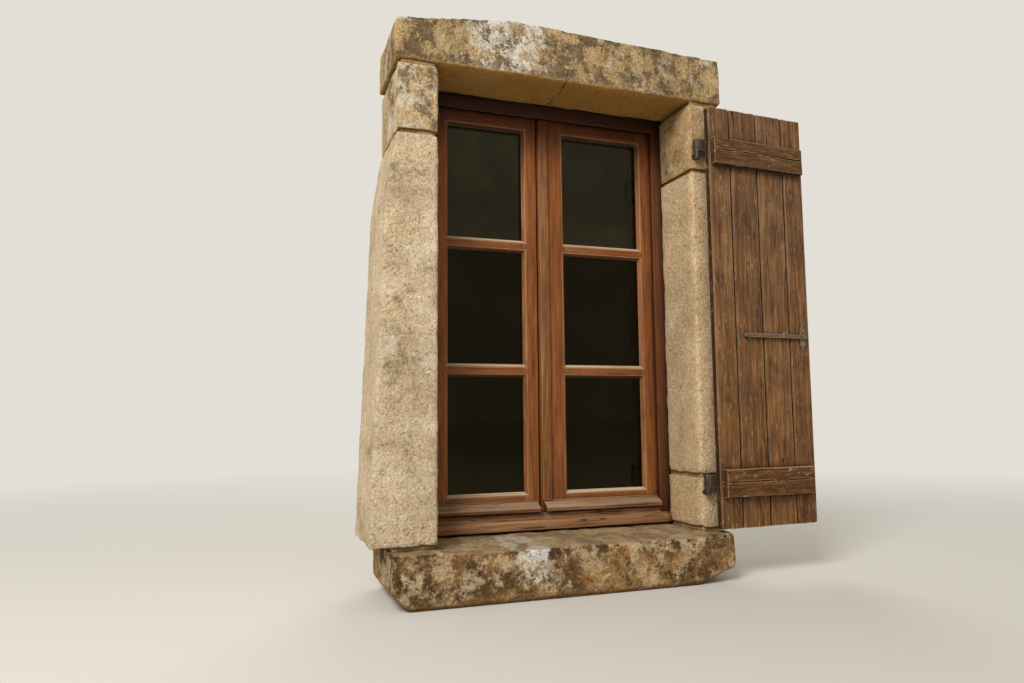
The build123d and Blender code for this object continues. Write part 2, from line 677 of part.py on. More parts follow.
def bolt_guides():
    guides = []
    half_w, half_h, back = GUIDE_W / 2, GUIDE_H / 2, SASH_BACK + GUIDE_D
    for z in guide_heights():
        guide = block(ROD_X - half_w, ROD_X + half_w, SASH_BACK, back, z - half_h, z + half_h)
        guide = chamfer(front_edges(guide, back), IRON_CHAMFER)
        guides.append(guide - rod_z(ROD_X, ROD_Y, ROD_R + ROD_CLEARANCE, z - GUIDE_H, z + GUIDE_H))
    return group(guides)


def rod_keepers():
    """The two staples on the fixed frame that the rods shoot into."""
    keepers = []
    half_w, back = KEEPER_W / 2, FRAME_BACK + GUIDE_D
    for z0 in (SASH_TOP + KEEPER_GAP, SASH_FOOT - KEEPER_GAP - KEEPER_H):
        keeper = block(ROD_X - half_w, ROD_X + half_w, FRAME_BACK, back, z0, z0 + KEEPER_H)
        keeper = chamfer(front_edges(keeper, back), IRON_CHAMFER)
        keepers.append(keeper - rod_z(ROD_X, ROD_Y, ROD_R + KEEPER_PLAY, z0 - CUT, z0 + KEEPER_H + CUT))
    return group(keepers)


# Pins in the stone and the shutter leaf
def pintle(eye_foot):
    top = SILL_TOP + eye_foot - EYE_SEAT_GAP
    foot = top - PINTLE_BODY_H
    body = rod_z(PIN_AXIS_X, PIN_AXIS_Y, PINTLE_BODY_R, foot, top)
    pin = rod_z(PIN_AXIS_X, PIN_AXIS_Y, PIN_R, foot, top + EYE_SEAT_GAP + EYE_H + PIN_PROUD)
    pin = chamfer(pin.edges().sort_by(Axis.Z)[-1], IRON_CHAMFER)
    return body + pin + rod_y(PIN_AXIS_X, spike_height(eye_foot), PINTLE_SPIKE_R, PIN_AXIS_Y, PINTLE_SPIKE_L)


def spike_height(eye_foot):
    return SILL_TOP + eye_foot - EYE_SEAT_GAP - PINTLE_BODY_H + PINTLE_SPIKE_R + PINTLE_SPIKE_INSET


def spike_hole(eye_foot):
    radius = PINTLE_SPIKE_R + NAIL_PLAY
    return rod_y(PIN_AXIS_X, spike_height(eye_foot), radius, -CUT, PINTLE_SPIKE_L + NAIL_PLAY)


def place_leaf(part):
    """Put a part drawn in the leaf's own axes, from its pin axis, on the open leaf."""
    return Pos(PIN_AXIS_X, PIN_AXIS_Y, 0) * Rot(0, 0, OPEN_LEAN_DEG) * part


PLANK_WIDTHS = [PLANK_OUTER_W, PLANK_INNER_W, PLANK_INNER_W, PLANK_OUTER_W]


def plank_starts():
    starts, s = [], LEAF_EDGE_X
    for width in PLANK_WIDTHS:
        starts.append(s)
        s += width + PLANK_GAP
    return starts


def ledge_span(start, stop):
    return LEAF_EDGE_X + start, LEAF_EDGE_X + LEAF_W - stop


LEDGES = {
    "upper_ledge": (UPPER_LEDGE_FOOT, *ledge_span(UPPER_LEDGE_START, UPPER_LEDGE_STOP)),
    "lower_ledge": (LOWER_LEDGE_FOOT, *ledge_span(LOWER_LEDGE_START, LOWER_LEDGE_STOP)),
}


def ledge_nail_places():
    """Two staggered nails through each plank at each ledge, in the band below the strap."""
    places = []
    for ledge_foot, eye_foot in ((UPPER_LEDGE_FOOT, UPPER_EYE_FOOT), (LOWER_LEDGE_FOOT, LOWER_EYE_FOOT)):
        band = eye_foot - ledge_foot
        for start, width in zip(plank_starts(), PLANK_WIDTHS):
            for sign in (-1, 1):
                x = start + width / 2 + sign * NAIL_SPREAD / 2
                places.append((x, SILL_TOP + ledge_foot + band / 2 + sign * NAIL_STAGGER / 2))
    return places


def strap_nail_places(eye_foot):
    """Nails along a strap, kept off the plank joints."""
    z = SILL_TOP + eye_foot + EYE_H / 2
    pitch = (STRAP_L - 2 * STRAP_TIP_H - EYE_R) / (STRAP_NAILS - 1)
    return [(LEAF_EDGE_X + STRAP_TIP_H + i * pitch, z) for i in range(STRAP_NAILS)]


def nail_holes():
    holes = [
        rod_y(x, z, LEDGE_NAIL_R + NAIL_PLAY, -LEAF_FACE - LEDGE_T + LEDGE_NAIL_TIP, -LEAF_BACK + CUT)
        for x, z in ledge_nail_places()
    ]
    for eye_foot in (UPPER_EYE_FOOT, LOWER_EYE_FOOT):
        for x, z in strap_nail_places(eye_foot):
            front, back = -LEAF_BACK - STRAP_NAIL_L, -LEAF_BACK + STRAP_T + CUT
            holes.append(rod_y(x, z, STRAP_NAIL_R + NAIL_PLAY, front, back))
    return holes


def plank(index):
    """One tongued and grooved plank, its long face edges eased."""
    start, width = plank_starts()[index], PLANK_WIDTHS[index]
    board = block(start, start + width, -LEAF_FACE, -LEAF_BACK, LEAF_FOOT, LEAF_FOOT + LEAF_H)
    eased = front_edges(board, -LEAF_FACE, Vector(0, 0, 1)) + front_edges(board, -LEAF_BACK, Vector(0, 0, 1))
    board = chamfer(eased, PLANK_CHAMFER)
    middle = -LEAF_BACK - PLANK_T / 2
    if index < len(PLANK_WIDTHS) - 1:
        half = TONGUE_T / 2
        edge, head = start + width, LEAF_FOOT + LEAF_H
        board += block(edge - CUT, edge + TONGUE_L, middle - half, middle + half, LEAF_FOOT, head)
    if index > 0:
        half = TONGUE_T / 2 + TONGUE_PLAY
        depth = TONGUE_L - PLANK_GAP + TONGUE_PLAY
        foot, head = LEAF_FOOT - CUT, LEAF_FOOT + LEAF_H + CUT
        board -= block(start - CUT, start + depth, middle - half, middle + half, foot, head)
    for hole in nail_holes() + latch_holes():
        board -= hole
    return board


def ledge(foot, x0, x1):
    bar = block(x0, x1, -LEAF_FACE - LEDGE_T, -LEAF_FACE, SILL_TOP + foot, SILL_TOP + foot + LEDGE_H)
    bar = chamfer(front_edges(bar, -LEAF_FACE - LEDGE_T), LEDGE_CHAMFER)
    for hole in nail_holes():
        bar -= hole
    return bar


def ledge_nails():
    nails = []
    for x, z in ledge_nail_places():
        shank = rod_y(x, z, LEDGE_NAIL_R, -LEAF_FACE - LEDGE_T + LEDGE_NAIL_TIP, -LEAF_BACK)
        nails.append(shank + rod_y(x, z, LEDGE_NAIL_HEAD_R, -LEAF_BACK, -LEAF_BACK + LEDGE_NAIL_HEAD_T))
    return group(nails)


def strap(eye_foot):
    """A flat strap that tapers to its tip, rolled into an eye round the pin."""
    z0, z1 = SILL_TOP + eye_foot, SILL_TOP + eye_foot + EYE_H
    middle, half_tip = (z0 + z1) / 2, STRAP_TIP_H / 2
    end = LEAF_EDGE_X + STRAP_L
    outline = [(0, z0), (LEAF_EDGE_X, z0), (end - half_tip, middle - half_tip), (end, middle)]
    outline += [(end - half_tip, middle + half_tip), (LEAF_EDGE_X, z1), (0, z1)]
    bar = prism_y(outline, -LEAF_BACK, -LEAF_BACK + STRAP_T)
    bar += rod_z(0, 0, EYE_R, z0, z1)
    bar -= rod_z(0, 0, PIN_R + PIN_PLAY, z0 - CUT, z1 + CUT)
    for hole in nail_holes():
        bar -= hole
    return bar


def strap_nails():
    nails = []
    seat = -LEAF_BACK + STRAP_T
    for eye_foot in (UPPER_EYE_FOOT, LOWER_EYE_FOOT):
        for x, z in strap_nail_places(eye_foot):
            shank = rod_y(x, z, STRAP_NAIL_R, -LEAF_BACK - STRAP_NAIL_L + NAIL_PLAY, seat)
            nails.append(shank + rod_y(x, z, STRAP_NAIL_HEAD_R, seat, seat + STRAP_NAIL_HEAD_T))
    return group(nails)


# Bar latch
LATCH_X = LEAF_EDGE_X + LEAF_W - LATCH_EDGE_INSET
LATCH_Z = LEAF_FOOT + LATCH_RISE
LATCH_BAR_BACK = -LEAF_FACE - LATCH_PLATE_T - LATCH_BAR_GAP
LATCH_BAR_FRONT = LATCH_BAR_BACK - LATCH_BAR_T
LATCH_HOOK_X = LATCH_X - LATCH_BAR_L + LATCH_HOOK_INSET
LATCH_HOOK_Z = LATCH_Z - LATCH_BAR_H / 2 - LATCH_BAR_GAP - LATCH_HOOK_R


def latch_plate():
    half_w, half_h = LATCH_PLATE_W / 2, LATCH_PLATE_H / 2
    shoulder = half_h - LATCH_PLATE_POINT
    outline = [
        (LATCH_X, LATCH_Z - half_h),
        (LATCH_X + half_w, LATCH_Z - shoulder),
        (LATCH_X + half_w, LATCH_Z + shoulder),
        (LATCH_X, LATCH_Z + half_h),
        (LATCH_X - half_w, LATCH_Z + shoulder),
        (LATCH_X - half_w, LATCH_Z - shoulder),
    ]
    front = -LEAF_FACE - LATCH_PLATE_T
    plate = prism_y(outline, front, -LEAF_FACE)
    plate -= rod_y(LATCH_X, LATCH_Z, LATCH_PIN_R + LATCH_PIN_PLAY, front - CUT, -LEAF_FACE + CUT)
    for hole in plate_nail_holes():
        plate -= hole
    return plate


def plate_nail_places():
    offset = LATCH_PLATE_H / 2 - LATCH_PLATE_POINT - PLATE_NAIL_INSET
    return [(LATCH_X, LATCH_Z + sign * offset) for sign in (-1, 1)]


def plate_nail_holes():
    front = -LEAF_FACE - LATCH_PLATE_T
    holes = []
    for x, z in plate_nail_places():
        shank = rod_y(x, z, PLATE_NAIL_R + NAIL_PLAY, front - CUT, front + PLATE_NAIL_L)
        seat = rod_y(x, z, PLATE_NAIL_HEAD_R + NAIL_PLAY, front - CUT, front + PLATE_NAIL_HEAD_T)
        holes.append(shank + seat)
    return holes


def latch_plate_nails():
    """Nails with their heads let in flush, so that the bar swings over them."""
    front = -LEAF_FACE - LATCH_PLATE_T
    nails = []
    for x, z in plate_nail_places():
        head = rod_y(x, z, PLATE_NAIL_HEAD_R, front, front + PLATE_NAIL_HEAD_T)
        nails.append(head + rod_y(x, z, PLATE_NAIL_R, front, front + PLATE_NAIL_L - NAIL_PLAY))
    return group(nails)


def latch_pin():
    """The headed pin that the bar turns on, riveted into the plank."""
    head_front = LATCH_BAR_FRONT - LATCH_BAR_GAP - LATCH_PIN_HEAD_T
    shank = rod_y(LATCH_X, LATCH_Z, LATCH_PIN_R, head_front, -LEAF_FACE + LATCH_PIN_L - NAIL_PLAY)
    head = rod_y(LATCH_X, LATCH_Z, LATCH_PIN_HEAD_R, head_front, head_front + LATCH_PIN_HEAD_T)
    return shank + chamfer(front_edges(head, head_front), LATCH_PIN_HEAD_T / 3)


def latch_bar():
    """The forged bar, rounded at its tip, with the thicker seat forged part way along it."""
    tip, tail, half = LATCH_X - LATCH_BAR_L, LATCH_X + LATCH_BAR_TAIL, LATCH_BAR_H / 2
    bar = block(tip + half, tail - half, LATCH_BAR_FRONT, LATCH_BAR_BACK, LATCH_Z - half, LATCH_Z + half)
    bar += rod_y(tip + half, LATCH_Z, half, LATCH_BAR_FRONT, LATCH_BAR_BACK)
    bar += rod_y(tail - half, LATCH_Z, half, LATCH_BAR_FRONT, LATCH_BAR_BACK)
    seat_x = LATCH_X - LATCH_BAR_L / 3
    bar += block(
        seat_x - LATCH_SEAT_W / 2,
        seat_x + LATCH_SEAT_W / 2,
        LATCH_BAR_BACK - LATCH_SEAT_T,
        LATCH_BAR_BACK,
        LATCH_Z - half,
        LATCH_Z - half + LATCH_SEAT_H,
    )
    bore = rod_y(LATCH_X, LATCH_Z, LATCH_PIN_R + LATCH_PIN_PLAY, LATCH_BAR_FRONT - CUT, LATCH_BAR_BACK + CUT)
    return bar - bore


def latch_rest_hook():
    """The bent nail under the bar's tip that carries it when it is stowed."""
    front = -LEAF_FACE - LATCH_HOOK_PROUD
    shank = rod_y(LATCH_HOOK_X, LATCH_HOOK_Z, LATCH_HOOK_R, front, -LEAF_FACE + LATCH_HOOK_L - NAIL_PLAY)
    lip = rod_z(LATCH_HOOK_X, front, LATCH_HOOK_R, LATCH_HOOK_Z, LATCH_HOOK_Z + LATCH_HOOK_LIP)
    return shank + lip


def latch_holes():
    """What the latch's pin, nails and hook need in the planks."""
    front = -LEAF_FACE - CUT
    holes = plate_nail_holes()
    pin_foot, hook_foot = -LEAF_FACE + LATCH_PIN_L, -LEAF_FACE + LATCH_HOOK_L
    holes.append(rod_y(LATCH_X, LATCH_Z, LATCH_PIN_R + NAIL_PLAY, front, pin_foot))
    holes.append(rod_y(LATCH_HOOK_X, LATCH_HOOK_Z, LATCH_HOOK_R + NAIL_PLAY, front, hook_foot))
    return holes


def build():
    """Every node of the window by name, at rest."""
    nodes = {"sill_stone": sill_stone(), "lintel": lintel(), "mortar_joints": mortar_joints()}
    nodes.update(jambs())

    nodes["frame_head"] = frame_head()
    nodes["frame_sill"] = frame_sill()
    nodes["frame_left_stile"] = frame_stile(-1)
    nodes["frame_right_stile"] = frame_stile(1)
    nodes["frame_hinge_halves"] = group(frame_hinge_halves(-1) + frame_hinge_halves(1))
    nodes["rod_keepers"] = rod_keepers()

    for name, side, meeting_w in (("left", -1, LEFT_MEETING_W), ("right", 1, RIGHT_MEETING_W)):
        sash_w = SASH_HINGE_X - side * MEETING_X
        members = sash_parts(sash_w, meeting_w)
        members["hinge_halves"] = sash_hinge_halves()
        if side > 0:
            members["cover_strip"] = cover_strip(sash_w)
        for part_name, part in members.items():
            nodes[f"{name}_{part_name}"] = place_sash(part, side)

    nodes["bolt_case"] = bolt_case()
    nodes["bolt_guides"] = bolt_guides()
    nodes["bolt_pinion"] = bolt_pinion()
    nodes["bolt_knob"] = bolt_knob()
    nodes["upper_rod"] = bolt_rod(1, SASH_TOP - ROD_TIP_SETBACK)
    nodes["lower_rod"] = bolt_rod(-1, SASH_FOOT + ROD_TIP_SETBACK)

    nodes["upper_pintle"] = pintle(UPPER_EYE_FOOT)
    nodes["lower_pintle"] = pintle(LOWER_EYE_FOOT)
    for index in range(len(PLANK_WIDTHS)):
        nodes[f"plank_{index + 1}"] = place_leaf(plank(index))
    for name, span in LEDGES.items():
        nodes[name] = place_leaf(ledge(*span))
    nodes["ledge_nails"] = place_leaf(ledge_nails())
    nodes["upper_strap"] = place_leaf(strap(UPPER_EYE_FOOT))
    nodes["lower_strap"] = place_leaf(strap(LOWER_EYE_FOOT))
    nodes["strap_nails"] = place_leaf(strap_nails())
    nodes["latch_plate"] = place_leaf(latch_plate())
    nodes["latch_plate_nails"] = place_leaf(latch_plate_nails())
    nodes["latch_pin"] = place_leaf(latch_pin())
    nodes["latch_bar"] = place_leaf(latch_bar())
    nodes["latch_rest_hook"] = place_leaf(latch_rest_hook())
    return nodes


os.makedirs("parts", exist_ok=True)
for node_name, node in build().items():
    export_step(node, f"parts/{node_name}.step")
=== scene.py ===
"""Looks of a shuttered casement window in dressed granite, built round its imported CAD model.

X runs along the wall, Y into it and Z up, in metres, with the origin under the middle of the
opening in the plane of the stones' face. Every piece has its place in its mesh.
"""

from __future__ import annotations

import logging
import math
from collections.abc import Sequence
from dataclasses import dataclass, field, replace
from enum import Enum

import bmesh
import bpy
from mathutils import Matrix, Vector, noise


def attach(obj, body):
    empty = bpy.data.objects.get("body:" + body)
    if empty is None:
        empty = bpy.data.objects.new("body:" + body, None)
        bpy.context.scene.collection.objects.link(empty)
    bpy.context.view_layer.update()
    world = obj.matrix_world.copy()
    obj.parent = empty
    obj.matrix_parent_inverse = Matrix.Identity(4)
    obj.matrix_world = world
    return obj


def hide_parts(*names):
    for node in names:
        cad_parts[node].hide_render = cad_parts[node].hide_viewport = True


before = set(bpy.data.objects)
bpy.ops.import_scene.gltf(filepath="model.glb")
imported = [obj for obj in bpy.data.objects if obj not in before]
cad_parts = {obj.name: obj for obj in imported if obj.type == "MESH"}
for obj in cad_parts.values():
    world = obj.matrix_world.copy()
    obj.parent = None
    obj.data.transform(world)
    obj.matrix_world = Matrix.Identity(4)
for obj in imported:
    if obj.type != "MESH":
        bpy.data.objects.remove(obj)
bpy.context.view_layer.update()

MM = 0.001
NOISE_SEED = 7
SHUTTER_PIN = Vector((447 * MM, -14 * MM, 0.0))
LOG = logging.getLogger("window")
Colour = tuple[float, float, float, float]
Tones = Sequence[tuple[float, str | float | Colour]]
Socket = bpy.types.NodeSocket
Node = bpy.types.Node
Net = bmesh.types.BMesh


def linear(given: str | float | Colour) -> Colour:
    """Turn a colour as it is written into a linear one.

    Args:
        given: An sRGB hex code, a linear grey level or a linear colour.

    Returns:
        Red, green, blue and an alpha of 1, all linear.
    """
    if isinstance(given, tuple):
        return given
    if isinstance(given, float):
        return given, given, given, 1.0
    parts = [int(given[i : i + 2], 16) / 255 for i in (1, 3, 5)]
    red, green, blue = (p / 12.92 if p <= 0.04045 else ((p + 0.055) / 1.055) ** 2.4 for p in parts)
    return red, green, blue, 1.0


@dataclass(frozen=True)
class Brush:
    """What paints one material: its node tree, and the coordinates that its patterns read, in metres."""

    tree: bpy.types.NodeTree
    where: Socket | None = None

    @classmethod
    def on(cls, owner: bpy.types.Material | bpy.types.World) -> Brush:
        """Return a brush on the emptied node tree of a material or world, with the piece's own coordinates."""
        owner.use_nodes = True
        owner.node_tree.nodes.clear()
        return cls(owner.node_tree, cls(owner.node_tree).add("TexCoord").outputs["Object"])

    def add(
        self, kind: str, inputs: dict[str | int, object] | None = None, tones: Tones = (), **settings: object
    ) -> Node:
        """Add one node with its settings, values and links.

        Args:
            kind: The node's type name, after the word that they all start with.
            inputs: Values, hex codes, or sockets to link from, by input name or number.
            tones: Places and colours of a colour ramp.
            **settings: Properties to set on the node.

        Returns:
            The new node.
        """
        node = self.tree.nodes.new(f"ShaderNode{kind}")
        for key, value in settings.items():
            setattr(node, key, value)
        for key, value in (inputs or {}).items():
            if isinstance(value, Socket):
                self.tree.links.new(value, node.inputs[key])
            else:
                node.inputs[key].default_value = linear(value) if isinstance(value, str) else value
        if tones:
            elements = node.color_ramp.elements
            for end in (0, -1):
                elements[end].position, elements[end].color = tones[end][0], linear(tones[end][1])
            for place, colour in tones[1:-1]:
                elements.new(place).color = linear(colour)
        return node

    def part(self, axis: str, vector: Socket | None = None) -> Socket:
        """Return one coordinate of a vector, or else of the place."""
        return self.add("SeparateXYZ", {"Vector": vector or self.where}).outputs[axis]

    def stretched(self, scale: tuple[float, ...], shift: tuple[float, ...] = (0.0, 0.0, 0.0)) -> Brush:
        """Return a brush whose coordinates are scaled, then shifted."""
        moved = self.add("Mapping", {"Vector": self.where, "Location": shift, "Scale": scale})
        return replace(self, where=moved.outputs[0])

    def product(self, first: Socket | float, *others: Socket | float) -> Socket | float:
        """Return masks and shares multiplied together."""
        for other in others:
            first = self.add("Math", {0: first, 1: other}, operation="MULTIPLY").outputs[0]
        return first

    def sum_of(self, value: Socket, share: float, rest: Socket) -> Socket:
        """Return a share of one value added to another."""
        return self.add("Math", {0: value, 1: share, 2: rest}, operation="MULTIPLY_ADD").outputs[0]

    def lay(self, below: Socket, above: Socket | str, *masks: Socket | float) -> Socket:
        """Lay one colour over another, which may be a hex code, as far as all the masks let it."""
        inputs = {"Fac": self.product(*masks), "Color1": below, "Color2": above}
        return self.add("MixRGB", inputs).outputs["Color"]

    def tone(self, value: Socket, tones: Tones) -> Socket:
        """Return the colour that a value has between the given ones."""
        return self.add("ValToRGB", {"Fac": value}, tones).outputs[0]

    def toned(self, colour: Socket, value: Socket, tones: Tones) -> Socket:
        """Return a colour multiplied by the tone that a value has between the given ones."""
        inputs = {"Fac": 1.0, "Color1": colour, "Color2": self.tone(value, tones)}
        return self.add("MixRGB", inputs, blend_type="MULTIPLY").outputs["Color"]

    def rise(self, value: Socket, low: float, high: float) -> Socket:
        """Return a mask that goes from 0 to 1 as a value goes from low to high."""
        return self.add("MapRange", {"Value": value, "From Min": low, "From Max": high}).outputs[0]

    def grit(
        self, size_mm: float, detail: float, rough: float = 0.5, seed: float | None = None, bent: float = 0.0
    ) -> Node:
        """Add a noise.

        Args:
            size_mm: The size of its features.
            detail: How many octaves it has.
            rough: How strong the finer octaves are.
            seed: Its fourth coordinate, if it has one.
            bent: How much it is distorted.

        Returns:
            The noise's node.
        """
        inputs = {"Vector": self.where, "Scale": 1 / (size_mm * MM), "Detail": detail, "Roughness": rough}
        inputs["Distortion"] = bent
        if seed is None:
            return self.add("TexNoise", inputs)
        return self.add("TexNoise", inputs | {"W": seed}, noise_dimensions="4D")

    def cloud(
        self, seed: float, size_mm: float, low: float, high: float, detail: float = 4.0, rough: float = 0.62
    ) -> Socket:
        """Return a mask that goes from 0 to 1 between two levels of a noise, with grit's values."""
        return self.rise(self.grit(size_mm, detail, rough, seed).outputs[0], low, high)

    def facing(self, low: float, high: float, axis: str = "Z", either_way: bool = False) -> Socket:
        """Return a mask of how far the surface faces along an axis.

        Args:
            low: The part of the normal that gives 0.
            high: The part that gives 1.
            axis: X, Y or Z.
            either_way: Whether facing the other way counts too.

        Returns:
            The mask.
        """
        part = self.part(axis, self.add("NewGeometry").outputs["Normal"])
        if either_way:
            part = self.add("Math", {0: part}, operation="ABSOLUTE").outputs[0]
        return self.rise(part, low, high)

    def edge(self, width_mm: float, low: float, high: float) -> Socket:
        """Return a mask of the arrises, where rubbing and weather show first, and painted highlights are laid.

        Args:
            width_mm: How far the wear reaches from an arris.
            low: The bend of the surface that gives 0.
            high: The bend that gives 1.

        Returns:
            The mask.
        """
        rounded = self.add("Bevel", {"Radius": width_mm * MM}, samples=4).outputs[0]
        flat = self.add("NewGeometry").outputs["Normal"]
        same = self.add("VectorMath", {0: rounded, 1: flat}, operation="DOT_PRODUCT").outputs["Value"]
        return self.rise(same, 1 - low, 1 - high)

    def spot(self, x: float, z: float, radius: float, core: float = 0.45) -> Socket:
        """Return the mask of a round spot on an upright face, a little longer than wide.

        Args:
            x: The spot's place along the wall, in metres.
            z: Its height, in metres.
            radius: Its radius, in metres.
            core: The part of the radius that is covered in full.

        Returns:
            The mask.
        """
        squat = 0.7
        flat = self.stretched((1.0, 0.0, squat), (-x, 0.0, -z * squat)).where
        far = self.add("VectorMath", {0: flat}, operation="LENGTH").outputs["Value"]
        return self.rise(far, radius, radius * core)

    def shaded_in_corners(self, colour: Socket, reach_mm: float, dark: float) -> Socket:
        """Return a colour darkened by painted shade in corners and crevices, down to a grey, as far as the
        given reach.
        """
        closed = self.add("AmbientOcclusion", {"Distance": reach_mm * MM}, samples=4).outputs["AO"]
        return self.toned(colour, closed, [(0.25, dark), (0.85, 1.0)])

    def surface(self, height: Socket, strength: float, relief_mm: float, inputs: dict[str, object]) -> Node:
        """Add the surface shader with its relief.

        Args:
            height: The relief, from 0 to 1.
            strength: How much of the relief counts.
            relief_mm: How deep it is.
            inputs: The shader's own values.

        Returns:
            The shader's node.
        """
        bump = self.add("Bump", {"Height": height, "Strength": strength, "Distance": relief_mm * MM})
        return self.add("BsdfPrincipled", inputs | {"Normal": bump.outputs[0]})


@dataclass(frozen=True)
class Finish:
    """A finish that makes one Blender material, named for the real one."""

    name: str
    slot: str = field(default="", kw_only=True)

    def material(self) -> bpy.types.Material:
        """Return this finish's material, made on its first use."""
        found = bpy.data.materials.get(self.name)
        if found is None:
            found = bpy.data.materials.new(self.name)
            paint = Brush.on(found)
            paint.add("OutputMaterial", {"Surface": self.shader(paint).outputs[0]})
        return found

    def shader(self, paint: Brush) -> Node:
        """Build the surface shader with the material's brush, and return its node."""
        raise NotImplementedError


@dataclass(frozen=True)
class DressedGranite(Finish):
    """Granite picked to a rough face and weathered outdoors for a long time.

    The eye sees pale feldspar, buff quartz and dark mica, with pits between them, and stains a hand
    wide. The grains are drawn about 5 mm wide, a little coarser than real ones, so that they show.
    Black, pale and golden lichen with feathery edges keeps to the outdoor faces, and some stones
    have one place white with it. Undersides are painted ochre as warm reflected light, level faces are
    washed pale, and painted shade darkens the joints and hollows.
    """

    slot: str = field(default="dressed_stone", kw_only=True)
    seed: float = 0.0
    feldspar: str = "#d8c4a0"
    quartz: str = "#b99c73"
    mica: str = "#4e3c29"
    stain: str = "#8d6c42"
    crust: str = "#e6dcc4"
    gold: str = "#ab7a31"
    soot: str = "#46382a"
    white: str = "#ece6d9"
    # Warm ochre for undersides: painted reflected light.
    underside_bounce_light: str = "#a67628"
    washed: str = "#c2a67d"
    gap: str = "#1f1710"
    stain_share: float = 0.45
    crust_share: float = 0.25
    gold_share: float = 0.0
    soot_share: float = 0.2
    lichen_scale: float = 1.0
    lichen_edge: float = 0.055
    grain_mm: float = 5.5
    clot_mm: float = 42.0
    stain_mm: float = 150.0
    pit_mm: float = 14.0
    relief_mm: float = 9.0
    coarseness: float = 1.0
    outdoors: tuple[float, float] = (250 * MM, 170 * MM)
    crack: bool = False
    crack_x: float = 9 * MM
    crack_top: float = 1.62
    bloom: tuple[float, float, float] | None = None

    def shader(self, paint: Brush) -> Node:
        """Build the granite's shader and return its node."""
        loose = paint.lay(paint.where, paint.grit(12, 2.0).outputs["Color"], 0.012)
        cells = paint.add("TexVoronoi", {"Vector": loose, "Scale": 1 / (self.grain_mm * MM), "Randomness": 1.0})
        body = self.weathered(paint, self.grains(paint, cells.outputs["Color"]))
        specks = [(0.12, 0.3), (0.3, 0.62), (0.37, 0.96), (0.66, 1.08), (0.74, 1.4), (0.9, 1.6)]
        body = paint.toned(body, paint.cloud(self.seed + 6, self.grain_mm, 0.22, 0.78, 6, 0.65), specks)
        # Painted shade: the stone darkens in its joints and hollows.
        body = paint.shaded_in_corners(body, 30, 0.4)
        if self.crack:
            body = paint.lay(body, self.gap, self.crack_mask(paint))
        pits = paint.grit(self.pit_mm, 9.0, 0.75, self.seed).outputs[0]
        height = paint.sum_of(cells.outputs["Distance"], -0.25, pits)
        matt = {"Base Color": body, "Roughness": 0.93, "Specular IOR Level": 0.2}
        return paint.surface(height, 1.0, self.relief_mm, matt)

    def grains(self, paint: Brush, cells: Socket) -> Socket:
        """Return the colour of the minerals, one for each cell's random colour, with clots and stains."""
        pick = paint.add("SeparateColor", {"Color": cells}).outputs[0]
        minerals = [(0.0, self.mica), (0.11, self.mica), (0.2, self.quartz), (0.6, self.quartz)]
        minerals += [(0.82, self.feldspar), (1.0, self.feldspar)]
        body = paint.lay(paint.tone(pick, minerals), self.quartz, 0.6)
        clots = paint.cloud(self.seed, self.clot_mm, 0.36, 0.64, 6)
        body = paint.lay(body, paint.lay(body, self.feldspar, 0.5), clots)
        stains = paint.cloud(self.seed + 3, self.stain_mm, 0.42, 0.68, 6, 0.7)
        return paint.lay(body, self.stain, stains, self.stain_share)

    def weathered(self, paint: Brush, body: Socket) -> Socket:
        """Return the grains' colour with painted reflected light, rain and lichen laid over it."""
        # Painted warm reflected light on faces that look down.
        body = paint.lay(body, self.underside_bounce_light, paint.facing(-0.35, -0.8), 0.75)
        level = paint.facing(0.6, 0.9)
        body = paint.lay(body, self.washed, level, 0.7)
        outdoors = paint.rise(paint.part("Y"), *self.outdoors)
        rained = paint.product(paint.facing(-0.5, 0.1), paint.rise(level, 2.0, 0.0), outdoors)
        for code, share, size_mm, shift in (
            (self.soot, self.soot_share, 120, 11),
            (self.crust, self.crust_share, 105, 17),
            (self.gold, self.gold_share, 150, 23),
        ):
            if share > 0:
                size, least = size_mm * self.lichen_scale, 0.6 - 0.14 * share
                mask = paint.cloud(self.seed + shift, size, least, least + self.lichen_edge, 12, 0.8)
                body = paint.lay(body, code, mask, rained, 0.45 + 0.45 * share)
        if self.bloom:
            spread = paint.cloud(self.seed + 31, 70, 0.25, 0.75, 12, 0.85)
            near = paint.product(spread, paint.spot(*self.bloom, 0.3))
            body = paint.lay(body, self.white, paint.rise(near, 0.45, 0.51), rained, 0.9)
        return body

    def crack_mask(self, paint: Brush) -> Socket:
        """Return the mask of the crack across the lintel's underside, which climbs its front arris."""
        wide, sway = 1.5 * MM, 40 * MM
        moved = paint.sum_of(paint.grit(60, 5.0).outputs[0], sway, paint.part("X"))
        near = paint.add("Math", {0: moved, 1: self.crack_x, 2: wide}, operation="COMPARE").outputs[0]
        low = paint.add("Math", {0: paint.part("Z"), 1: self.crack_top}, operation="LESS_THAN").outputs[0]
        return paint.product(near, low)


@dataclass(frozen=True)
class LimeMortar(Finish):
    """Sandy lime mortar pressed into a joint: a warm pale yellow with sand grains and damp, matt."""

    slot: str = field(default="lime_mortar", kw_only=True)
    lime: str = "#b79b6c"
    sand: str = "#7d6641"
    damp: str = "#6f5a36"

    def shader(self, paint: Brush) -> Node:
        """Build the mortar's shader and return its node."""
        sanded = paint.tone(paint.cloud(1.0, 9, 0.35, 0.7, 6), [(0.0, self.lime), (1.0, self.sand)])
        body = paint.lay(sanded, self.damp, paint.cloud(5.0, 70, 0.45, 0.7))
        matt = {"Base Color": body, "Roughness": 0.95, "Specular IOR Level": 0.2}
        return paint.surface(paint.grit(4, 6.0).outputs[0], 0.8, 2, matt)


class Grain(Enum):
    """Which way the grain of a timber piece runs, as the scale of its pattern."""

    ALONG_X = (0.05, 1.0, 1.0)
    ALONG_Z = (1.0, 1.0, 0.05)
    ROUND_PANE = "along each strip"


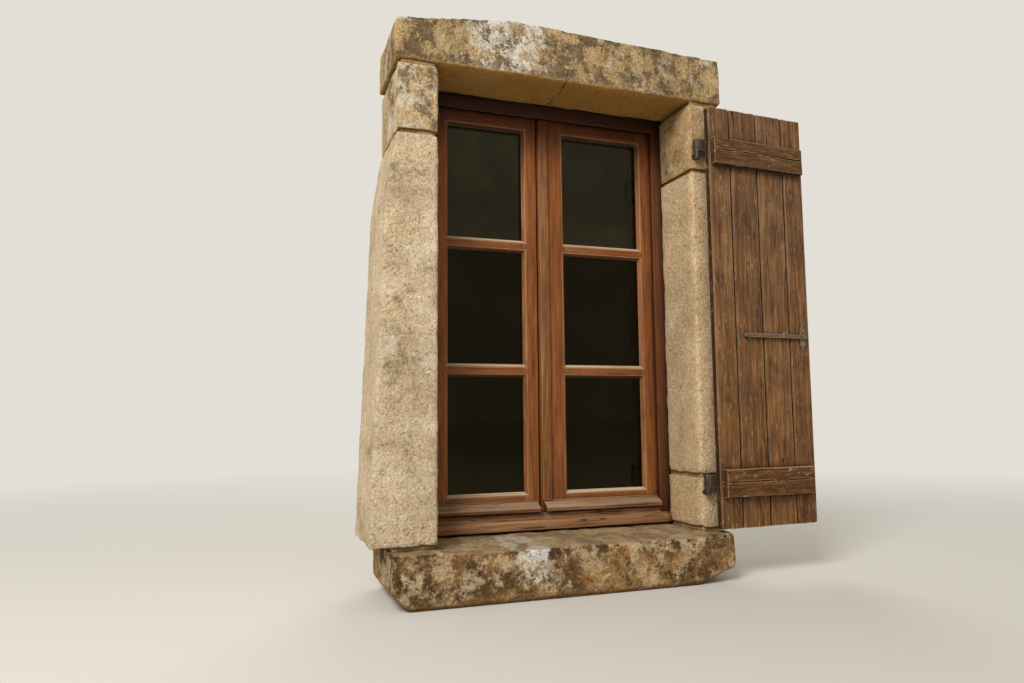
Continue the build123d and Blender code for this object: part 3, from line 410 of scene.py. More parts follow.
PLAIN = (1.0, 1.0, 1.0, 1.0)
# Painted shadow of the lintel: window timber darkens from 1.38 m up to 1.53 m.
LINTEL_SHADOW = ((1.38, PLAIN), (1.53, (0.31, 0.21, 0.08, 1.0)))
DOWN_SHUTTER = ((0.3, (1.14, 0.98, 0.74, 1.0)), (1.2, (1.08, 1.05, 1.02, 1.0)))


@dataclass(frozen=True)
class Timber(Finish):
    """Softwood or oak with a stain that weather has worn.

    The eye sees streaks of grain that run the length of the piece, thin drying cracks, painted shade
    in corners, on undersides and on some sides, and arrises rubbed back to lighter wood with painted
    highlights along them. Upward faces are laid paler, as sun bleaching with painted light from above.
    Under the lintel the colour is darkened as the lintel's painted shadow. Old boards have flakes of
    pale stain and a few knots. Streaks and fibres are drawn 7 mm and 2.4 mm wide, coarser than real
    ones, so that they show.
    """

    slot: str = field(default="window_wood", kw_only=True)
    grain: Grain = Grain.ALONG_Z
    seed: float = 0.0
    dark: str = "#643511"
    body: str = "#905325"
    light: str = "#ab6a36"
    # Rubbed arrises: real wear with painted highlights along them.
    worn: str = "#c48f5c"
    patch: str = "#6a3a1a"
    bleach: str = "#a98663"
    # Laid on upward faces: sun bleaching together with painted light from above.
    sunned_and_lit: str = "#c0a583"
    # Painted shade, laid on undersides and on the sides that face along the wall.
    side: str = "#2a180d"
    fleck: str = "#c4a682"
    knot: str = "#2f1c12"
    gap: str = "#24160f"
    patch_share: float = 0.5
    bleach_share: float = 0.0
    sunned_and_lit_share: float = 0.75
    # How much of the rubbed colour, wear and painted highlight, the arrises get.
    wear_and_highlight: float = 0.6
    # How much painted shade the sides that face along the wall get.
    shaded_sides: float = 0.0
    flecks: float = 0.0
    checks: float = 0.4
    streak_mm: float = 8.0
    fibre_mm: float = 2.4
    relief_mm: float = 1.8
    roughness: float = 0.6
    gloss: float = 0.3
    # How dark, and how far from corners and crevices, the painted shade reaches.
    corner_shade: float = 0.22
    corner_shade_mm: float = 20.0
    # Colour by height; for the window timber it paints the lintel's shadow near the head.
    by_height: tuple[tuple[float, Colour], ...] = LINTEL_SHADOW
    fleck_stretch: tuple[float, float, float] = (1.0, 1.0, 0.25)
    knots: tuple[tuple[float, float, float], ...] = ()

    def shader(self, paint: Brush) -> Node:
        """Build the timber's shader and return its node."""
        along = self.along_grain(paint)
        streak = along.grit(self.streak_mm, 7.0, 0.62, self.seed, 0.25).outputs[0]
        wood = paint.tone(streak, [(0.30, self.dark), (0.5, self.body), (0.72, self.light)])
        wood = paint.lay(wood, self.patch, paint.cloud(self.seed + 2, 150, 0.4, 0.68, 5), self.patch_share)
        if self.bleach_share > 0:
            least = 0.68 - 0.25 * self.bleach_share
            wood = paint.lay(wood, self.bleach, along.cloud(self.seed + 5, 16, least, least + 0.12, 6), 0.85)
        fibre = along.cloud(self.seed + 8, self.fibre_mm, 0.2, 0.8, 3)
        wood = paint.toned(wood, fibre, [(0.0, 0.74), (1.0, 1.14)])
        wood = self.exposed(paint, along, wood)
        crack = self.check_mask(along)
        # Painted shade darkens the wood near corners and in crevices; the drying cracks are the wood's own.
        wood = paint.shaded_in_corners(paint.lay(wood, self.gap, crack, self.checks), self.corner_shade_mm, self.corner_shade)
        limits = {"Value": streak, "To Min": self.roughness + 0.12, "To Max": self.roughness - 0.1}
        dull = paint.add("MapRange", limits).outputs[0]
        height = paint.sum_of(crack, -0.6 * self.checks, streak)
        worn = {"Base Color": wood, "Roughness": dull, "Specular IOR Level": self.gloss}
        return paint.surface(height, 0.8, self.relief_mm, worn)

    def exposed(self, paint: Brush, along: Brush, wood: Socket) -> Socket:
        """Return the wood's colour with sun, painted light and shade, rubbing with highlights, knots and flakes
        laid over it.

        Args:
            paint: The brush on the material.
            along: The same, with coordinates along the grain.
            wood: The wood's colour.

        Returns:
            The exposed colour.
        """
        # Upward faces paler: sun bleaching and painted light from above.
        lit = paint.product(paint.facing(0.3, 0.7), along.cloud(self.seed + 22, 20, 0.25, 0.5))
        wood = paint.lay(wood, self.sunned_and_lit, lit, self.sunned_and_lit_share)
        # Painted shade on undersides, and on the sides where asked.
        wood = paint.lay(wood, self.side, paint.facing(-0.4, -0.8), 0.8)
        if self.shaded_sides > 0:
            wood = paint.lay(wood, self.side, paint.facing(0.6, 0.85, "X", either_way=True), self.shaded_sides)
        # For the window timber this paints the lintel's shadow; the shutter's boards go warmer towards the
        # foot.
        tallest = 2.0
        height = paint.product(paint.part("Z"), 1 / tallest)
        wood = paint.toned(wood, height, [(z / tallest, tone) for z, tone in self.by_height])
        # Arrises rubbed paler: wear, and painted highlights along them.
        rubbed = paint.product(paint.edge(4.5, 0.015, 0.14), along.cloud(self.seed + 12, 14, 0.3, 0.6))
        wood = paint.lay(wood, self.worn, rubbed, self.wear_and_highlight)
        for knot in self.knots:
            wood = paint.lay(wood, self.knot, paint.spot(*knot))
        if self.flecks > 0:
            flakes = paint.stretched(self.fleck_stretch).cloud(self.seed + 27, 8, 0.565, 0.61, 9, 0.82)
            wood = paint.lay(wood, self.fleck, flakes, self.flecks)
        return wood

    def along_grain(self, paint: Brush) -> Brush:
        """Return a brush drawn together along the grain, which turns with the strips round a pane."""
        if self.grain is not Grain.ROUND_PANE:
            return paint.stretched(self.grain.value)
        upright, level = (paint.stretched(way.value).where for way in (Grain.ALONG_Z, Grain.ALONG_X))
        return replace(paint, where=paint.lay(upright, level, paint.facing(0.2, 0.25, either_way=True)))

    def check_mask(self, along: Brush) -> Socket:
        """Return the mask of thin drying cracks that follow the grain."""
        level = along.grit(26, 3.0, 0.5, self.seed + 15).outputs[0]
        line = along.tone(level, [(0.484, 0.0), (0.496, 1.0), (0.502, 1.0), (0.514, 0.0)])
        return along.product(line, along.cloud(self.seed + 19, 60, 0.42, 0.56, 2))


@dataclass(frozen=True)
class ForgedIron(Finish):
    """Hand forged iron left to rust: dark scale, brown rust and rubbed grey arrises with painted highlights,
    dull.
    """

    slot: str = field(default="shutter_iron", kw_only=True)
    scale_colour: str = "#403833"
    rust: str = "#60422d"
    # Rubbed arrises: real wear with painted highlights on them.
    rubbed: str = "#b3a595"
    rust_share: float = 0.5
    roughness: float = 0.55

    def shader(self, paint: Brush) -> Node:
        """Build the iron's shader and return its node."""
        rusty = paint.product(paint.cloud(2.0, 14, 0.38, 0.62, 6), self.rust_share)
        body = paint.tone(rusty, [(0.0, self.scale_colour), (1.0, self.rust)])
        # Arrises laid paler: wear and painted highlights.
        body = paint.lay(body, self.rubbed, paint.edge(2.5, 0.015, 0.12), 0.85)
        dull = {"Base Color": body, "Metallic": 0.4, "Roughness": self.roughness}
        return paint.surface(paint.grit(5, 6.0).outputs[0], 0.6, 1.2, dull)


@dataclass(frozen=True)
class DrawnGlass(Finish):
    """Old drawn window glass, slightly wavy and a little dusty.

    Its near black olive is painted darkness for the unlit room behind it, and it mirrors in a dim warm tone.
    """

    painted_room_dark: str = "#0c0b07"
    haze: str = "#15130b"
    mirrored: str = "#a5946c"
    seed: float = 0.0

    def shader(self, paint: Brush) -> Node:
        """Build the glass's shader and return its node."""
        # Near black: painted darkness standing in for the unlit room; the haze is dust laid over it.
        painted_room_dark = paint.tone(paint.cloud(self.seed, 190, 0.45, 0.72, 5), [(0.0, self.painted_room_dark), (1.0, self.haze)])
        skin = {"Base Color": painted_room_dark, "Roughness": 0.04, "IOR": 1.5, "Transmission Weight": 0.9}
        skin["Specular Tint"] = self.mirrored
        return paint.surface(paint.grit(140, 1.0, seed=self.seed).outputs[0], 0.3, 3, skin)


MORTAR = LimeMortar("sandy lime mortar")
RUSTY_IRON = ForgedIron("forged iron, rusted")
# The latch is drawn lighter, with pale arrises: rubbing by hands, and a painted highlight along the bar.
LATCH_IRON = ForgedIron(
    "forged iron, rusted and rubbed by hands", scale_colour="#6e5b4b", rust="#866a53", rubbed="#e2d0b8",
    rust_share=0.7,
)
ROOM_IRON = ForgedIron(
    "cast iron, worn black paint", scale_colour="#22201d", rust="#3a2c22", rust_share=0.35, roughness=0.5,
    slot="window_iron",
)


def roughness_at(*place: float) -> float:
    """Return a smooth random level between -1 and 1 for a place."""
    return noise.noise(Vector(place))


def in_scene(name: str, data: bpy.types.ID) -> bpy.types.Object:
    """Put a new object of the given data in the scene."""
    made = bpy.data.objects.new(name, data)
    bpy.context.scene.collection.objects.link(made)
    return made


def mesh_of(name: str, bm: Net) -> bpy.types.Mesh:
    """Turn a bmesh into a mesh, and free it."""
    mesh = bpy.data.meshes.new(name)
    bm.to_mesh(mesh)
    bm.free()
    return mesh


def merged_copy(node: str) -> Net:
    """Copy a CAD node's triangles, merge them and join the flat ones.

    Args:
        node: The node's name.

    Returns:
        The copy, closed, with its normals as they were.
    """
    bm = bmesh.new()
    bm.from_mesh(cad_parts[node].data)
    bmesh.ops.remove_doubles(bm, verts=bm.verts, dist=0.01 * MM)
    bmesh.ops.dissolve_limit(bm, angle_limit=math.radians(0.5), verts=bm.verts, edges=bm.edges)
    return bm


def ease(bm: Net, edges: list[bmesh.types.BMEdge], radius: float) -> None:
    """Round edges of a mesh by a radius in metres."""
    bmesh.ops.bevel(
        bm, geom=edges, offset=radius, offset_type="OFFSET", segments=2, profile=0.5, affect="EDGES",
        clamp_overlap=True, material=-1,
    )


def cut(bm: Net, axis: int, place: float) -> None:
    """Cut a mesh across axis 0, 1 or 2, for X, Y or Z, at a place in metres."""
    normal = Vector([float(i == axis) for i in range(3)])
    geom = bm.verts[:] + bm.edges[:] + bm.faces[:]
    bmesh.ops.bisect_plane(bm, geom=geom, dist=1e-6, plane_co=normal * place, plane_no=normal)


def slice_along(bm: Net, axis: int, step: float) -> None:
    """Cut a mesh into slices, so that it can bend and wander.

    Args:
        bm: The mesh.
        axis: 0, 1 or 2 for X, Y or Z.
        step: The slices' thickness, in metres.
    """
    places = [v.co[axis] for v in bm.verts]
    low, high = min(places), max(places)
    for i in range(1, int((high - low) / step)):
        cut(bm, axis, low + i * step)


def wander(bm: Net, size: float, amount: float, seed: float) -> None:
    """Move each point by a smooth random amount, as hand work and weather do.

    Args:
        bm: The mesh.
        size: How long the waves are, in metres.
        amount: How far a point moves at most, in metres.
        seed: Where in the noise the piece lies.
    """
    shift = Vector((seed, -seed, 2 * seed))
    for vert in bm.verts:
        vert.co += noise.noise_vector(vert.co / size + shift) * amount


def add_piece(
    name: str, bm: Net, finish: Finish, body: str, node: str, smooth_deg: float = 40.0
) -> None:
    """Make an object of a mesh, dress it, tie it to its CAD body and let it stand for its node.

    Args:
        name: The piece's name.
        bm: Its mesh, which is freed.
        finish: What it is made of.
        body: The CAD body it moves with.
        node: The CAD node that it replaces.
        smooth_deg: The bend that still shades smoothly.
    """
    mesh = mesh_of(name, bm)
    piece = in_scene(name, mesh)
    mesh.materials.append(finish.material())
    mesh.polygons.foreach_set("use_smooth", [True] * len(mesh.polygons))
    mesh.set_sharp_from_angle(angle=math.radians(smooth_deg))
    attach(piece, body)
    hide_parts(node)
    LOG.info("%s: %d faces, on %s", name, len(mesh.polygons), body)


def rounded_copy(node: str, radius_mm: float, least_deg: float = 35.0) -> Net:
    """Copy a CAD node with its arrises rounded.

    Args:
        node: The node's name.
        radius_mm: The arrises' radius.
        least_deg: The bend that makes an edge an arris.

    Returns:
        The copy.
    """
    bm = merged_copy(node)
    least = math.radians(least_deg)
    ease(bm, [e for e in bm.edges if e.is_manifold and e.calc_face_angle(0.0) > least], radius_mm * MM)
    bmesh.ops.dissolve_degenerate(bm, dist=0.02 * MM, edges=bm.edges)
    return bm


def soften(node: str, radius_mm: float, finish: Finish, body: str, forged_mm: float = 0.0) -> None:
    """Replace a CAD node by the same shape with its arrises rounded.

    Args:
        node: The node's name.
        radius_mm: The arrises' radius.
        finish: What the piece is made of.
        body: The CAD body it moves with.
        forged_mm: How uneven the hammer left it.
    """
    bm = rounded_copy(node, radius_mm)
    if forged_mm:
        wander(bm, 22 * MM, forged_mm * MM, 3.0)
    add_piece(f"{node}_dressed", bm, finish, body, node)


@dataclass
class StoneSurround:
    """The dressed stones and their mortar, rebuilt as rough weathered blocks."""

    body: str = "surround"
    voxel: float = 4.5 * MM
    rounding_passes: int = 16
    least_worn: float = 0.3
    mean_worn: float = 0.6
    worn_spread: float = 1.1
    chip_size: float = 55 * MM
    chip_depth: float = 7 * MM
    chip_least: float = 0.15
    face_size: float = 45 * MM
    face_relief: float = 2.6 * MM
    pock_size: float = 12 * MM
    pock_relief: float = 1.8 * MM
    dressed_share: float = 0.4
    dressed_low: tuple[float, ...] = (-435 * MM, 20 * MM, 160 * MM)
    dressed_high: tuple[float, ...] = (435 * MM, 230 * MM, 1580 * MM)
    bedded: float = 2 * MM
    bed_inset: float = 2.5 * MM
    bed_spread: float = 3 * MM
    stones: dict[str, DressedGranite] = field(
        default_factory=lambda: {
            "sill_stone": DressedGranite(
                "granite sill, lichened", 1.0, quartz="#956b3e", feldspar="#c9a26e", stain="#5c3f22",
                soot="#412f1e", crust="#dcc39a", stain_share=0.75, crust_share=0.75, gold_share=0.3,
                soot_share=1.0, coarseness=2.2, lichen_scale=0.6, bloom=(-0.17, 0.13, 0.14),
            ),
            "lintel": DressedGranite(
                "granite lintel", 7.0, quartz="#b7945f", feldspar="#dcc396", stain="#7a5f42", stain_share=0.55,
                crust_share=0.45, soot_share=0.9, coarseness=1.5, crack=True, lichen_scale=0.75,
                bloom=(-0.22, 1.69, 0.3),
            ),
            "left_jamb_long": DressedGranite(
                "granite jamb, long left", 13.0, quartz="#dfc298", feldspar="#f0e0c6", stain="#94774f",
                stain_share=0.6, crust_share=0.4, soot_share=0.35,
            ),
            "left_jamb_upper": DressedGranite(
                "granite jamb, upper left", 19.0, quartz="#d3b17f", crust_share=0.75, soot_share=0.75,
                lichen_scale=0.7,
            ),
            # The right jamb stones' colours are raised by about 15 % as painted light on the lit reveal, over
            # their own tones.
            "right_jamb_lower": DressedGranite(
                "granite jamb, lower right", 25.0, quartz="#dab685", feldspar="#ecd6af", stain_share=0.4,
            ),
            "right_jamb_long": DressedGranite(
                "granite jamb, long right", 31.0, quartz="#dcb88a", feldspar="#eed9b4", stain_share=0.4,
                soot_share=0.15, gold_share=0.2,
            ),
            "right_jamb_upper": DressedGranite(
                "granite jamb, upper right", 37.0, quartz="#c19a66", feldspar="#dcc294", stain_share=0.6,
                soot_share=0.5,
            ),
        }
    )

    def build(self) -> None:
        """Build every stone and the mortar beds."""
        for node, finish in self.stones.items():
            self.stone(node, finish)
        self.mortar("mortar_joints")

    def voxelled(self, node: str) -> Net:
        """Return a CAD stone as an even net of small quads."""
        mesh = mesh_of("rough", merged_copy(node))
        rough = in_scene("rough", mesh)
        remesh = rough.modifiers.new("even", "REMESH")
        remesh.mode, remesh.voxel_size = "VOXEL", self.voxel
        even = rough.evaluated_get(bpy.context.evaluated_depsgraph_get())
        bm = bmesh.new()
        bm.from_mesh(even.to_mesh())
        even.to_mesh_clear()
        bpy.data.objects.remove(rough)
        bpy.data.meshes.remove(mesh)
        return bm

    def stone(self, node: str, finish: DressedGranite) -> None:
        """Wear one stone's arrises unevenly and roughen its faces, less in the reveal and not below.

        Args:
            node: The stone's CAD node.
            finish: Its granite.
        """
        bm = self.voxelled(node)
        before = [v.co.copy() for v in bm.verts]
        for _ in range(self.rounding_passes):
            bmesh.ops.smooth_vert(
                bm, verts=bm.verts, factor=0.5, use_axis_x=True, use_axis_y=True, use_axis_z=True
            )
        bm.normal_update()
        shift = Vector((finish.seed, 0.0, -finish.seed))
        for vert, flat in zip(bm.verts, before):
            worn = min(1.0, (vert.co - flat).length / self.voxel)
            share = self.mean_worn + self.worn_spread * noise.noise(flat / self.chip_size + shift)
            share = min(1.0, max(self.least_worn, share))
            chip = max(0.0, noise.noise(flat / (self.chip_size / 2) + 3 * shift) - self.chip_least) * worn
            face = 0.5 + 0.5 * noise.noise(flat / self.face_size - shift)
            pock = max(0.0, noise.noise(flat / self.pock_size + 2 * shift))
            relief = face * self.face_relief * finish.coarseness + pock * self.pock_relief
            if all(low < at < high for low, at, high in zip(self.dressed_low, flat, self.dressed_high)):
                relief *= self.dressed_share
            if flat.z < self.bedded:
                relief = 0.0
            vert.co = flat.lerp(vert.co, share) - vert.normal * (relief + chip * self.chip_depth)
        add_piece(f"{node}_rough", bm, finish, self.body, node, 180.0)

    def mortar(self, node: str) -> None:
        """Press the mortar back into its joints, unevenly.

        Args:
            node: The mortar's CAD node.
        """
        bm = merged_copy(node)
        for axis in (0, 1):
            slice_along(bm, axis, 14 * MM)
        left = set(bm.verts)
        while left:
            bed, edge = set(), [left.pop()]
            while edge:
                vert = edge.pop()
                bed.add(vert)
                near = {e.other_vert(vert) for e in vert.link_edges} & left
                left -= near
                edge.extend(near)
            self.press(bed)
        wander(bm, 30 * MM, 2.5 * MM, 8.0)
        add_piece(f"{node}_pressed", bm, MORTAR, self.body, node, 60.0)

    def press(self, bed: set[bmesh.types.BMVert]) -> None:
        """Draw one bed's sides in from the stones' faces, and spread it up and down to meet them.

        Args:
            bed: The bed's points.
        """
        low = Vector([min(v.co[i] for v in bed) for i in range(3)])
        high = Vector([max(v.co[i] for v in bed) for i in range(3)])
        middle, half = (low + high) / 2, (high - low) / 2
        grown = half + Vector((-self.bed_inset, -self.bed_inset, self.bed_spread))
        for vert in bed:
            away = vert.co - middle
            vert.co = middle + Vector([away[i] * grown[i] / half[i] for i in range(3)])


@dataclass
class FixedFrame:
    """The wooden frame behind the stones."""

    body: str = "surround"
    arris_mm: float = 1.8
    # Colours darkened as painted shade: the frame lies in the shadow of the lintel and jambs.
    shaded: Timber = Timber(
        "stained timber", dark="#3f2110", body="#683a1b", light="#834e28", worn="#a56f45", wear_and_highlight=0.5,
        corner_shade=0.12, corner_shade_mm=60,
    )
    # Strong painted shade in corners darkens the slope under the weather bar.
    bleached: Timber = Timber(
        "stained timber, sun bleached sill", Grain.ALONG_X, 4.0, dark="#73492a", body="#a4754d",
        light="#c3986d", worn="#d3ae84", patch_share=0.3, bleach_share=0.35, wear_and_highlight=0.9, checks=0.9,
        sunned_and_lit_share=0.1, corner_shade=0.03, corner_shade_mm=24,
    )

    def build(self) -> None:
        """Dress the frame's members."""
        for node, grain, seed in (
            ("frame_head", Grain.ALONG_X, 1.0),
            ("frame_left_stile", Grain.ALONG_Z, 2.0),
            ("frame_right_stile", Grain.ALONG_Z, 3.0),
        ):
            finish = replace(self.shaded, name=f"{self.shaded.name}, {node}", grain=grain, seed=seed)
            soften(node, self.arris_mm, finish, self.body)
        soften("frame_sill", self.arris_mm, self.bleached, self.body)


@dataclass
class Sash:
    """One casement sash: its timber, beads, weather bar and panes, and the right one's cover strip."""

    side: str
    seed: float
    arris_mm: float = 1.6
    # Lighter, shorter painted shade beside the seam between the meeting stiles.
    seam_shade: float = 0.5
    seam_shade_mm: float = 9.0
    stiles: tuple[str, ...] = ("hinge_stile", "meeting_stile")
    rails: tuple[str, ...] = ("top_rail", "bottom_rail", "glazing_bars")

    @property
    def body(self) -> str:
        """The CAD body that the sash is."""
        return f"{self.side}_sash"

    def build(self) -> None:
        """Dress every member of the sash."""
        for number, member in enumerate(self.stiles + self.rails):
            node = f"{self.side}_{member}"
            grain = Grain.ALONG_Z if member in self.stiles else Grain.ALONG_X
            finish = Timber(f"stained timber, {node}", grain, self.seed + 2.3 * number)
            # The meeting stile gets the seam's lighter painted shade.
            if member == "meeting_stile":
                finish = replace(finish, corner_shade=self.seam_shade, corner_shade_mm=self.seam_shade_mm)
            soften(node, self.arris_mm, finish, self.body)
        # Beads laid pale on arrises and upward faces: wear and sun with painted highlights.
        bead = Timber(
            f"stained timber, {self.side} beads", Grain.ROUND_PANE, self.seed + 20, body="#955a2c",
            light="#b87d4a", worn="#dfbf95", wear_and_highlight=1.0, sunned_and_lit="#cbb796", sunned_and_lit_share=0.95,
        )
        soften(f"{self.side}_glazing_beads", 0.7, bead, self.body)
        # Painted shade in its corners; its pale arrises are wear with painted highlights.
        bar = Timber(
            f"stained timber, {self.side} weather bar", Grain.ALONG_X, self.seed + 30, dark="#54311c",
            body="#7e5537", light="#a67b56", worn="#dcbb97", patch_share=0.3, bleach_share=0.3, wear_and_highlight=0.95,
            checks=0.7, sunned_and_lit_share=0.5, corner_shade=0.1, corner_shade_mm=30,
        )
        soften(f"{self.side}_weather_bar", 1.2, bar, self.body)
        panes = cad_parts[f"{self.side}_panes"].data.materials
        panes.clear()
        panes.append(DrawnGlass(f"drawn glass, {self.side}", seed=self.seed).material())
        LOG.info("%s_panes: glazed", self.side)
        if self.side == "right":
            # Pale arrises: wear with a painted highlight along them; lighter painted shade by the seam.
            strip = Timber(
                "weathered timber, cover strip", Grain.ALONG_Z, self.seed + 40, dark="#5e381c", body="#8e5c32",
                light="#a97444", worn="#d6ab7c", bleach_share=0.12, wear_and_highlight=1.0, corner_shade=self.seam_shade,
                corner_shade_mm=self.seam_shade_mm,
            )
            soften("right_cover_strip", 1.0, strip, self.body)


@dataclass
class RoomIron:
    """The hinges and the rod bolt on the room side, as nodes, their CAD bodies and their arrises' radii."""

    nodes: tuple[tuple[str, str, float], ...] = (
        ("frame_hinge_halves", "surround", 0.4),
        ("rod_keepers", "surround", 0.4),
        ("left_hinge_halves", "left_sash", 0.4),
        ("right_hinge_halves", "right_sash", 0.4),
        ("bolt_case", "right_sash", 0.6),
        ("bolt_guides", "right_sash", 0.6),
        ("bolt_knob", "knob", 0.6),
        ("bolt_pinion", "knob", 0.6),
        ("upper_rod", "upper_rod", 0.6),
        ("lower_rod", "lower_rod", 0.6),
    )

    def build(self) -> None:
        """Dress every piece of it."""
        for node, body, radius_mm in self.nodes:
            soften(node, radius_mm, ROOM_IRON, body)


@dataclass
class ShutterLeaf:
    """The ledged plank leaf, built in its own axes from the pin and turned to where it rests open."""

    body: str = "shutter"
    lean_deg: float = 3.0
    edge_x: float = 19 * MM
    widths: tuple[float, ...] = (85 * MM, 109.5 * MM, 109.5 * MM, 85 * MM)
    gap: float = 1 * MM
    shrinkage: float = 1.5 * MM
    foot: float = 161 * MM
    head: float = 1541 * MM
    front: float = -39 * MM
    back: float = -12 * MM
    arris: float = 3.6 * MM
    slice_step: float = 12 * MM
    cup: float = 0.9 * MM
    bow: float = 0.6 * MM
    bow_length: float = 0.35
    ragged: float = 1.6 * MM
    ragged_size: float = 18 * MM
    dent: float = 2.2 * MM
    dent_size: tuple[float, float] = (30 * MM, 50 * MM)
    tongue: float = 7 * MM
    tongue_length: float = 6.5 * MM
    ledge_depth: float = 24 * MM
    ledge_arris: float = 6 * MM
    crack_depth: float = 13 * MM
    crack_wave: float = 70 * MM
    crack_sway: float = 3.5 * MM
    crack_jag: float = 13 * MM
    # The boards' sides, undersides and corners carry painted shade, and their arrises painted highlights with
    # the wear.
    board: Timber = Timber(
        "weathered board", slot="shutter_wood", dark="#4c331d", light="#a27e59", worn="#cfa97c",
        patch="#4c392d", patch_share=0.85, bleach="#a88d6e", bleach_share=0.25, wear_and_highlight=1.0, streak_mm=7.0,
        checks=0.65, relief_mm=2.7, roughness=0.8, gloss=0.15, corner_shade=0.04, flecks=0.6, shaded_sides=0.85,
        by_height=DOWN_SHUTTER,
    )
    tones: tuple[str, ...] = ("#83603e", "#7a573a", "#886443", "#7d593c")
    knots: tuple[tuple[tuple[float, float, float], ...], ...] = (
        ((0.485, 0.799, 3.5 * MM), (0.520, 0.794, 3.5 * MM)),
        ((0.612, 1.02, 5 * MM),),
        ((0.722, 0.37, 6 * MM),),
        (),
    )
    ledges: tuple[tuple[str, float, float, float, float], ...] = (
        ("upper_ledge", 24 * MM, 393 * MM, 1343 * MM, 1431 * MM),
        ("lower_ledge", 27 * MM, 386 * MM, 261 * MM, 349 * MM),
    )

    @property
    def rest(self) -> Matrix:
        """The turn and move from the leaf's own axes to where it rests open."""
        return Matrix.Translation(SHUTTER_PIN) @ Matrix.Rotation(math.radians(self.lean_deg), 4, "Z")

    def build(self) -> None:
        """Build the planks and ledges."""
        start = self.edge_x
        for number, width in enumerate(self.widths, 1):
            self.plank(number, start, width)
            start += width + self.gap
        for ledge in self.ledges:
            self.ledge(*ledge)

    def profile(self, x0: float, x1: float, groove: bool, tongue: bool) -> list[tuple[float, float]]:
        """Return a board's outline seen from above, with eased arrises, groove and tongue.

        Args:
            x0: The board's edge nearer the pin.
            x1: Its far edge.
            groove: Whether the near edge is grooved.
            tongue: Whether the far edge has a tongue.

        Returns:
            Points (x, y) in order, counter-clockwise from above.
        """
        x0, x1 = x0 + self.shrinkage, x1 - self.shrinkage
        steps = 10
        inner0, inner1 = x0 + self.arris, x1 - self.arris
        across = [inner0 + (inner1 - inner0) * i / steps for i in range(steps + 1)]
        middle, half = (self.front + self.back) / 2, self.tongue / 2
        points = [(x, self.front) for x in across]
        points.append((x1, self.front + self.arris))
        if tongue:
            tip = x1 + self.tongue_length + self.shrinkage
            points += [(x1, middle - half), (tip, middle - half), (tip, middle + half), (x1, middle + half)]
        points.append((x1, self.back - self.arris))
        points += [(x, self.back) for x in reversed(across)]
        points.append((x0, self.back - self.arris))
        if groove:
            mouth, floor = half + 0.4 * MM, x0 + self.tongue_length + 0.5 * MM
            points += [(x0, middle + mouth), (floor, middle + mouth)]
            points += [(floor, middle - mouth), (x0, middle - mouth)]
        points.append((x0, self.front + self.arris))
        return points

    def plank(self, number: int, x0: float, width: float) -> None:
        """Build one board, slightly cupped, with ragged ends and dented arrises.

        Args:
            number: The board's number from the pin.
            x0: Its edge nearer the pin.
            width: Its width.
        """
        x1, seed = x0 + width, 9.7 * number
        bm = bmesh.new()
        outline = self.profile(x0, x1, number > 1, number < len(self.widths))
        face = bm.faces.new([bm.verts.new((x, y, self.foot)) for x, y in outline])
        bm.normal_update()
        made = bmesh.ops.extrude_face_region(bm, geom=[face])["geom"]
        rise = Vector((0, 0, self.head - self.foot))
        bmesh.ops.translate(bm, vec=rise, verts=[v for v in made if isinstance(v, bmesh.types.BMVert)])
        slice_along(bm, 2, self.slice_step)
        middle = (x0 + x1) / 2
        for vert in bm.verts:
            x, y, z = vert.co
            cup = 1 - ((x - middle) / (width / 2)) ** 2
            vert.co.y += self.cup * cup + self.bow * roughness_at(seed, z / self.bow_length, y)
            if min(z - self.foot, self.head - z) < 1 * MM:
                across = x / self.ragged_size
                ragged = roughness_at(across, seed, z) + 0.5 * roughness_at(3 * across, z, seed)
                vert.co.z += (1 if z < 1 else -1) * max(0.0, ragged + 0.35) * self.ragged
            on_arris = min(x - x0, x1 - x) < 1 * MM or abs(y - self.front) < 0.1 * MM
            if on_arris and y < (self.front + self.back) / 2:
                dent = roughness_at(x / self.dent_size[0], seed, z / self.dent_size[1]) - 0.25
                vert.co.y += max(0.0, dent) * self.dent
        bmesh.ops.recalc_face_normals(bm, faces=bm.faces)
        bmesh.ops.transform(bm, matrix=self.rest, verts=bm.verts)
        name, tone, knots = f"{self.board.name} {number}", self.tones[number - 1], self.knots[number - 1]
        board = replace(self.board, name=name, seed=seed, body=tone, knots=knots)
        add_piece(f"shutter_plank_{number}", bm, board, self.body, f"plank_{number}", 32.0)

